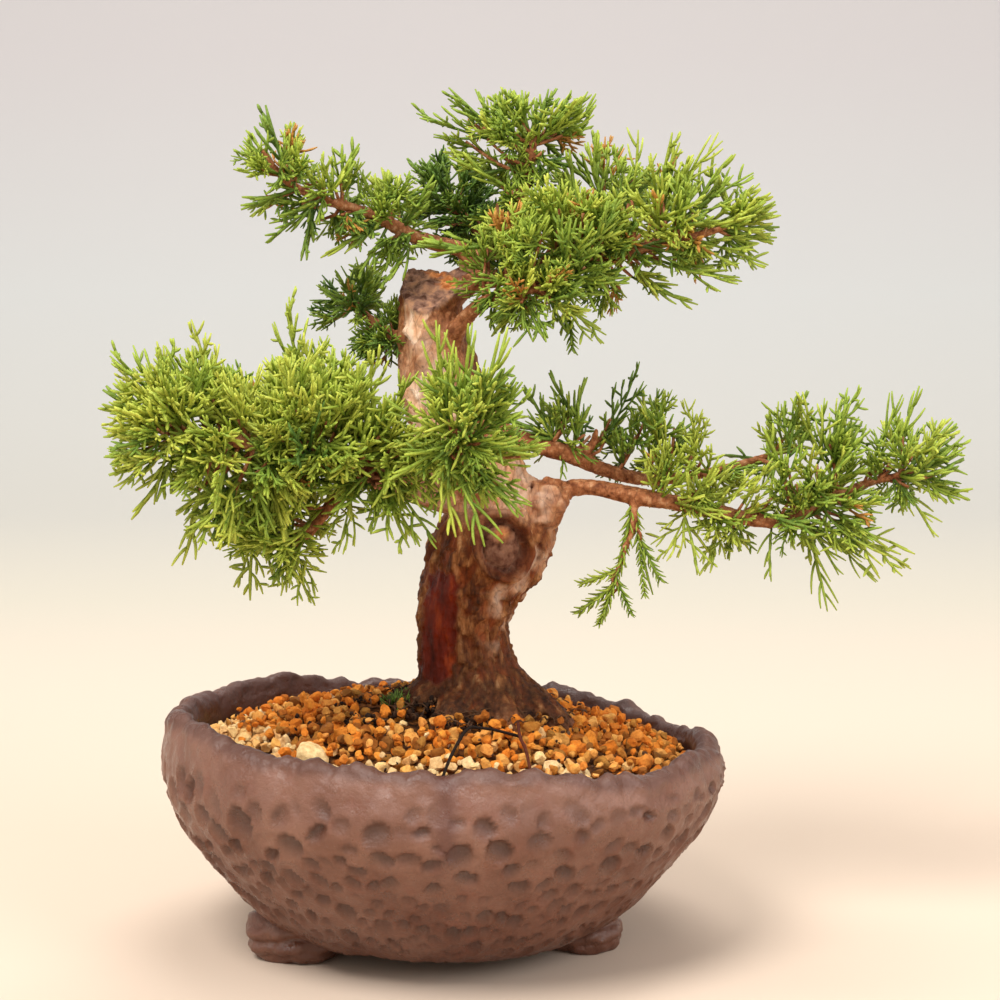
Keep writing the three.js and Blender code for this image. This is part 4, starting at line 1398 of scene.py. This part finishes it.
# each is (its branches, how full it is, how light its green is, which for pads at the back and inside is partly
# painted shade, its share of dying sprays, its habits)
HABITS = {
    "foliage_left_outer": (("left", "left_low"), 1.0, 0.68, 0.006, ("feather", "feather", "feather", "whip")),
    "foliage_left_inner": (("left", "left_up"), 1.15, 0.64, 0.008, ("feather", "feather", "tuft")),
    "foliage_left_back": (("left_back",), 0.8, 0.4, 0.02, ("feather", "tuft")),
    "foliage_front": (("front",), 0.85, 0.58, 0.012, ("whip", "feather", "feather")),
    "foliage_mid_left": (("mid_left",), 1.1, 0.3, 0.02, ("feather", "tuft")),
    "foliage_upper_left": (("upper_left",), 1.1, 0.48, 0.05, ("feather", "feather", "whip")),
    "foliage_back": (("back",), 1.3, 0.1, 0, ("tuft", "tuft", "feather")),
    "foliage_crown": (("crown",), 0.9, 0.5, 0.01, ("feather", "feather", "tuft")),
    "foliage_upper_inner": (
        ("upper_right_pad", "upper_front"), 1.1, 0.56, 0.035, ("feather", "feather", "tuft"),
    ),
    "foliage_upper_outer": (("upper_right_pad",), 0.85, 0.58, 0.03, ("feather", "feather", "whip")),
    "foliage_upper_rear": (("upper_rear",), 1.1, 0.48, 0.03, ("feather", "feather", "tuft")),
    "foliage_middle": (("upper_right",), 0.22, 0.4, 0.02, ("feather", "whip")),
    "foliage_right_inner": (("upper_right", "lower_right"), 0.7, 0.7, 0.02, ("feather", "feather", "whip")),
    "foliage_right_outer": (
        ("lower_right", "upper_right"), 0.85, 0.55, 0.012, ("feather", "feather", "whip"),
    ),
    "foliage_right_tip": (("lower_right",), 0.9, 0.52, 0.01, ("feather", "whip")),
    "foliage_hanging": (("hanging",), 1.0, 0.6, 0, ("needle",)),
}


# %% Spread points over a lump
def spread(count, dice):
    """Directions spread evenly over a sphere on a golden spiral, each nudged a little."""
    golden = pi * (3 - 5 ** 0.5)
    start = dice.uniform(0, tau)
    for k in range(count):
        z = 1 - 2 * (k + 0.5) / count
        ring = (1 - z * z) ** 0.5
        turn = golden * k + start
        nudge = Vector([dice.gauss(0, 0.16) for _ in range(3)])
        yield (Vector((ring * cos(turn), ring * sin(turn), z)) + nudge).normalized()


def scaled(vector, lump):
    """A step measured in a lump's half-width, half-depth and half-height."""
    return Vector((vector.x / lump[3], vector.y / lump[4], vector.z / lump[5]))


def depth_in(point, lump):
    """0 at a lump's middle and 1 at its surface."""
    return scaled(point - Vector(lump[:3]), lump).length


def reach_out(start, heading, lump):
    """How far it is from a point inside a lump to its surface along a direction."""
    s, d = scaled(start - Vector(lump[:3]), lump), scaled(heading, lump)
    a, b, c = d.dot(d), s.dot(d), s.dot(s) - 1
    return (-b + max(b * b - a * c, 0) ** 0.5) / a


# %% Grow one twig with its sprays
TWIG_SPRAYS = 6
LIGHTEST, DARKEST, DYING = 0.93, 0.05, 1.5


def grow_twig(twigs, start, end, thick, dice):
    """A thin woody twig that sags a little between its ends, and the points along it."""
    sag = Vector((dice.uniform(-1.5, 1.5), dice.uniform(-1.5, 1.5), -0.08 * (end - start).length))
    path = smooth_path([(*start, thick), (*((start + end) / 2 + sag), 0.8 * thick), (*end, 0.4)], 3)
    tube(twigs, [Vector((*place(*p[:3]), p[3] * MM)) for p in path], 5)
    return [p.to_3d() for p in path]


def nearest_wood(wood_line, point):
    """The place on a pad's branches from which a twig would reach the point, a little nearer the trunk."""
    nearest = min(range(len(wood_line)), key=lambda i: (wood_line[i] - point).length)
    return wood_line[max(0, nearest - 2)]


def dress_twig(bm, path, outward, lump, name, dice):
    """Sets sprays along a twig's outer part; each ends near the lump's surface."""
    _, _, light, dying, habits = HABITS[name]
    onward = (path[-1] - path[0]).normalized()
    for k in range(TWIG_SPRAYS + 1):
        t = 0.3 + 0.7 * k / TWIG_SPRAYS
        spot = path[min(int(t * (len(path) - 1)), len(path) - 1)]
        wander = any_vector(dice) * (0.45 if k < TWIG_SPRAYS else 0.12)
        heading = (outward * 0.7 + onward * 0.35 + wander + Vector((0, 0, 0.1))).normalized()
        room = reach_out(spot, heading, lump) if depth_in(spot, lump) < 1 else 12
        length = min(27, max(9, room * dice.uniform(0.85, 1.15)))
        # Sprays that point upwards get a lighter green and those that point down a darker one: painted light on
        # the pad's top and painted shade under it.
        tint = min(LIGHTEST, max(DARKEST, dice.gauss(light, 0.17) + 0.12 * outward.z))
        tint = DYING if dice.random() < dying else tint
        aim_spray(bm, dice.choice(habits), spot, spot + heading * length, dice.uniform(-1.3, 1.3), tint, dice)


def grow_pad(name, twigs, dice):
    """Fills a pad's lumps with twigs and sprays, then adds the named sprays that give its outline."""
    branches, fullness, light, _, _ = HABITS[name]
    wood_line = [p.to_3d() for branch in branches for p in smooth_path(BRANCHES[branch], 2)]
    bm = new_spray()
    for lump in PADS[name]:
        others = [other for other in PADS[name] if other is not lump]
        centre, half = Vector(lump[:3]), Vector(lump[3:])
        count = max(5, round(0.038 * fullness * (half.x * half.y * half.z) ** (2 / 3)))
        for outward in spread(count, dice):
            end = centre + Vector(o * h for o, h in zip(outward, half)) * dice.uniform(0.45, 0.62)
            if any(depth_in(end, other) < 0.6 for other in others):
                continue
            path = grow_twig(twigs, nearest_wood(wood_line, end), end, 0.65, dice)
            dress_twig(bm, path, outward, lump, name, dice)
    for habit, base, tip, roll in HEROES.get(name, ()):
        base, tip = Vector(base), Vector(tip)
        start = nearest_wood(wood_line, base)
        if (start - base).length > 2:
            grow_twig(twigs, start, base, 0.6, dice)
        aim_spray(bm, habit, base, tip, roll, min(LIGHTEST, dice.gauss(light, 0.12)), dice)
    return bm


# %% Name the sprays that give the outline
# each is (habit, where its stem starts, where it ends, how far it is rolled round its stem)
HEROES = {
    "foliage_upper_left": [
        ("feather", (-40, -4, 206), (-47.5, -5, 224), 0.3),
        ("feather", (-40, -4, 205), (-53.5, -6, 213), 0.5),
        ("tuft", (-28, -4, 203), (-22, -4, 215), 0.2), ("feather", (-34, -2, 198), (-37, -3, 184), 0.8),
        ("feather", (-32, -3, 200), (-46, -7, 189), 0.2), ("whip", (-38, -3, 203), (-52, -8, 198), 0.1),
        ("feather", (-14, 4, 194), (-21, -3, 180), 0.4), ("feather", (-8, 5, 192), (-13, -4, 177), 0.7),
        ("whip", (-16, 3, 195), (-29, -5, 184), 0.2), ("feather", (-10, 4, 193), (-2, -2, 206), 0.5),
    ],
    "foliage_crown": [
        ("feather", (12, 2, 216), (-7, 0, 222), 0.2), ("feather", (15, 3, 218), (0.9, 2, 230), 0.3),
        ("tuft", (24, 4, 217), (30, 3, 229), 0.2), ("tuft", (32, 3, 217), (41.9, 2, 225), 0.6),
        ("tuft", (16, 3, 218), (14, 1, 229), 0.9), ("whip", (18, 0, 203), (3, -6, 212), 0.2),
    ],
    "foliage_upper_outer": [
        ("feather", (42, -2, 200), (38, -2, 217), 0.2), ("whip", (50, -4, 200), (53, -5, 218), 0.7),
        ("feather", (56, -4, 200), (62, -6, 217), 0.3), ("feather", (48, -2, 198), (46, 0, 215), 0.9),
        ("feather", (36, 0, 198), (33, 2, 213), 0.5), ("whip", (70, -6, 194), (84, -8, 203), 0.3),
        ("feather", (66, -6, 193), (88, -8, 194), 0.1), ("feather", (64, -6, 196), (81, -8, 208), 0.5),
        ("whip", (58, -4, 200), (73, -6, 216), 0.4), ("feather", (66, -6, 190), (86, -8, 184), 0.4),
        ("feather", (58, -8, 184), (77, -10, 177), 0.2), ("whip", (66, -4, 197), (74, -4, 213), 0.9),
        ("whip", (50, -5, 180), (66, -9, 171), 0.4),
    ],
    "foliage_upper_inner": [
        ("feather", (12, -8, 188), (-6, -14, 186), 0.1), ("needle", (33, -12, 176), (34, -15, 161), 0.2),
        ("feather", (28, -14, 176), (42, -16, 164), 0.5), ("tuft", (24, -10, 178), (14, -14, 166), 0.7),
    ],
    "foliage_left_outer": [
        ("feather", (-68, -48, 146), (-84, -52, 149), 0.1),
        ("feather", (-66, -48, 148), (-81, -50, 163), 0.4),
        ("feather", (-56, -46, 152), (-60, -48, 171), 0.6),
        ("feather", (-48, -30, 114), (-50, -30, 98), 0.6),
        ("feather", (-38, -30, 114), (-36, -32, 97), 0.4),
        ("whip", (-66, -46, 136), (-76, -48, 121), 0.3), ("whip", (-60, -44, 128), (-62, -46, 109), 0.5),
    ],
    "foliage_left_inner": [
        ("feather", (-12, -42, 138), (-4, -50, 124), 0.3), ("feather", (-14, -44, 142), (-6, -52, 156), 0.5),
        ("feather", (-12, -42, 136), (-16, -46, 118), 0.2), ("feather", (-10, -40, 140), (4, -46, 128), 0.7),
        ("feather", (-20, -44, 146), (-14, -52, 162), 0.4), ("whip", (-14, -40, 134), (-2, -44, 114), 0.6),
        ("feather", (-36, -30, 155), (-39, -32, 176), 0.3), ("feather", (-14, -42, 130), (-9, -44, 113), 0.5),
        ("feather", (-22, -40, 128), (-24, -42, 112), 0.8),
    ],
    "foliage_front": [
        ("whip", (4, -54, 144), (-3, -60, 171), 0.2), ("whip", (6, -54, 144), (7, -62, 170), 0.9),
        ("whip", (7, -55, 144), (18, -60, 168), 0.5), ("whip", (8, -55, 142), (22, -62, 154), 0.3),
        ("whip", (8, -55, 140), (27, -60, 138), 0.1), ("whip", (6, -55, 138), (22, -60, 124), 0.6),
        ("whip", (4, -55, 137), (14, -62, 117), 0.5), ("whip", (2, -54, 138), (2, -60, 118), 0.2),
        ("whip", (3, -55, 143), (-14, -62, 150), 0.4), ("whip", (3, -55, 141), (-12, -62, 132), 0.3),
    ],
    "foliage_middle": [
        ("whip", (35.5, 5, 132), (35, 3, 153), 0.2), ("whip", (35, 4, 143), (28, 2, 154), 0.4),
        ("feather", (31, 4, 134), (22.5, 1, 151), 0.3), ("feather", (44, 6, 136), (54, 6, 154), 0.4),
        ("feather", (33, 4, 135), (18, 2, 141), 0.1),
    ],
    "foliage_right_outer": [
        ("feather", (84, -6, 118), (98, -14, 112), 0.3), ("feather", (92, -6, 120), (106, -14, 122), 0.1),
        ("feather", (88, -6, 122), (96, -14, 136), 0.6), ("feather", (98, -5, 124), (112, -12, 134), 0.4),
        ("feather", (100, -4, 120), (116, -12, 112), 0.5), ("feather", (80, -6, 120), (86, -14, 132), 0.2),
        ("feather", (92, -2, 130), (94, -2, 149), 0.3), ("feather", (100, -2, 130), (110, -2, 150), 0.5),
        ("whip", (98, -2, 112), (104, -4, 91), 0.2), ("whip", (104, -2, 112), (114, -4, 97), 0.5),
        ("feather", (106, -2, 116), (122, -5, 100), 0.4), ("whip", (88, -3, 113), (86, -5, 99), 0.5),
    ],
    "foliage_right_tip": [
        ("feather", (122, -2, 127), (141, -3, 121), 0.1), ("feather", (120, -2, 129), (137, -4, 138), 0.3),
        ("whip", (118, -2, 130), (130, -2, 149), 0.5), ("whip", (114, -2, 128), (122, -3, 149), 0.2),
        ("whip", (122, -2, 125), (133, -4, 112), 0.6),
    ],
    "foliage_right_inner": [
        ("feather", (58, -4, 121), (68, -12, 130), 0.3), ("feather", (62, -5, 120), (76, -12, 117), 0.2),
        ("feather", (66, -5, 120), (74, -13, 132), 0.7), ("feather", (56, -3, 122), (60, -10, 136), 0.4),
        ("whip", (64, -5, 118), (70, -10, 102), 0.3), ("feather", (72, -5, 119), (84, -12, 126), 0.5),
        ("feather", (66, 0, 118), (60, -4, 104), 0.2), ("tuft", (74, -2, 114), (72, -4, 101), 0.5),
        ("feather", (62, 6, 128), (52, 4, 146), 0.3), ("feather", (70, 8, 130), (66, 6, 147), 0.7),
    ],
    "foliage_hanging": [
        ("needle", (51, -3, 120), (48, -5, 104), 0.1), ("needle", (48.5, -5, 107), (43, -6, 88), 0.4),
        ("needle", (47, -5, 102), (37, -7, 98), 0.2), ("needle", (46, -5, 98), (36.5, -6, 90), 0.6),
        ("needle", (51.5, -3, 118), (54, -5, 95), 0.9), ("needle", (46.5, -5, 100), (50, -6, 90), 0.3),
        ("needle", (53, -4, 110), (58, -6, 99), 0.3), ("needle", (45, -5, 95), (42, -6, 87), 0.3),
    ],
}


# %% Mix the leaves' finish
def leaf_finish():
    leaf = Finish("juniper_leaf", roughness=0.5, specular=0.4)
    tint, tip = leaf.painted("tint"), leaf.painted("tip")
    old = leaf.ramp(
        tint, (0.0, rgb(42, 70, 20)), (0.35, rgb(82, 114, 32)), (0.62, rgb(122, 146, 40)),
        (0.95, rgb(160, 168, 52)), (1.0, rgb(178, 112, 46)),
    )
    new = leaf.ramp(
        tint, (0.0, rgb(88, 126, 40)), (0.5, rgb(164, 184, 62)), (0.95, rgb(206, 210, 84)),
        (1.0, rgb(206, 148, 66)),
    )
    base = leaf.mix(leaf.share(tip, 0.25, 1.0), old, new)
    patch = leaf.ramp(leaf.cloud(9, detail=3), (0.35, rgb(196, 206, 190)), (0.65, rgb(255, 255, 255)))
    base = leaf.mix(0.6, base, patch, "MULTIPLY")
    twig = leaf.mix(leaf.share(tip, 0.2, 0.02), base, rgb(172, 122, 58))
    leaf.colour(twig)
    scales = leaf.cells(0.62)
    leaf.roughness(leaf.share(scales, -0.9, 1.4))
    leaf.bump(scales, 0.14)
    return leaf.material


LEAF = leaf_finish()


# %% Grow every pad
def grow_all():
    twigs = bmesh.new()
    for number, name in enumerate(PADS):
        bm = grow_pad(name, twigs, random.Random(SEED + 20 + number))
        piece = to_object(bm, "leaves_" + name.removeprefix("foliage_"), LEAF)
        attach(piece, "root")
        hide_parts(name)
    bmesh.ops.recalc_face_normals(twigs, faces=twigs.faces)
    thin = twigs.verts.layers.float.new("thin")
    for v in twigs.verts:
        v[thin] = 1
    return to_object(twigs, "fine_twigs", BARK)


fine_twigs = grow_all()
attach(fine_twigs, "root")
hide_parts("trunk_and_branches")
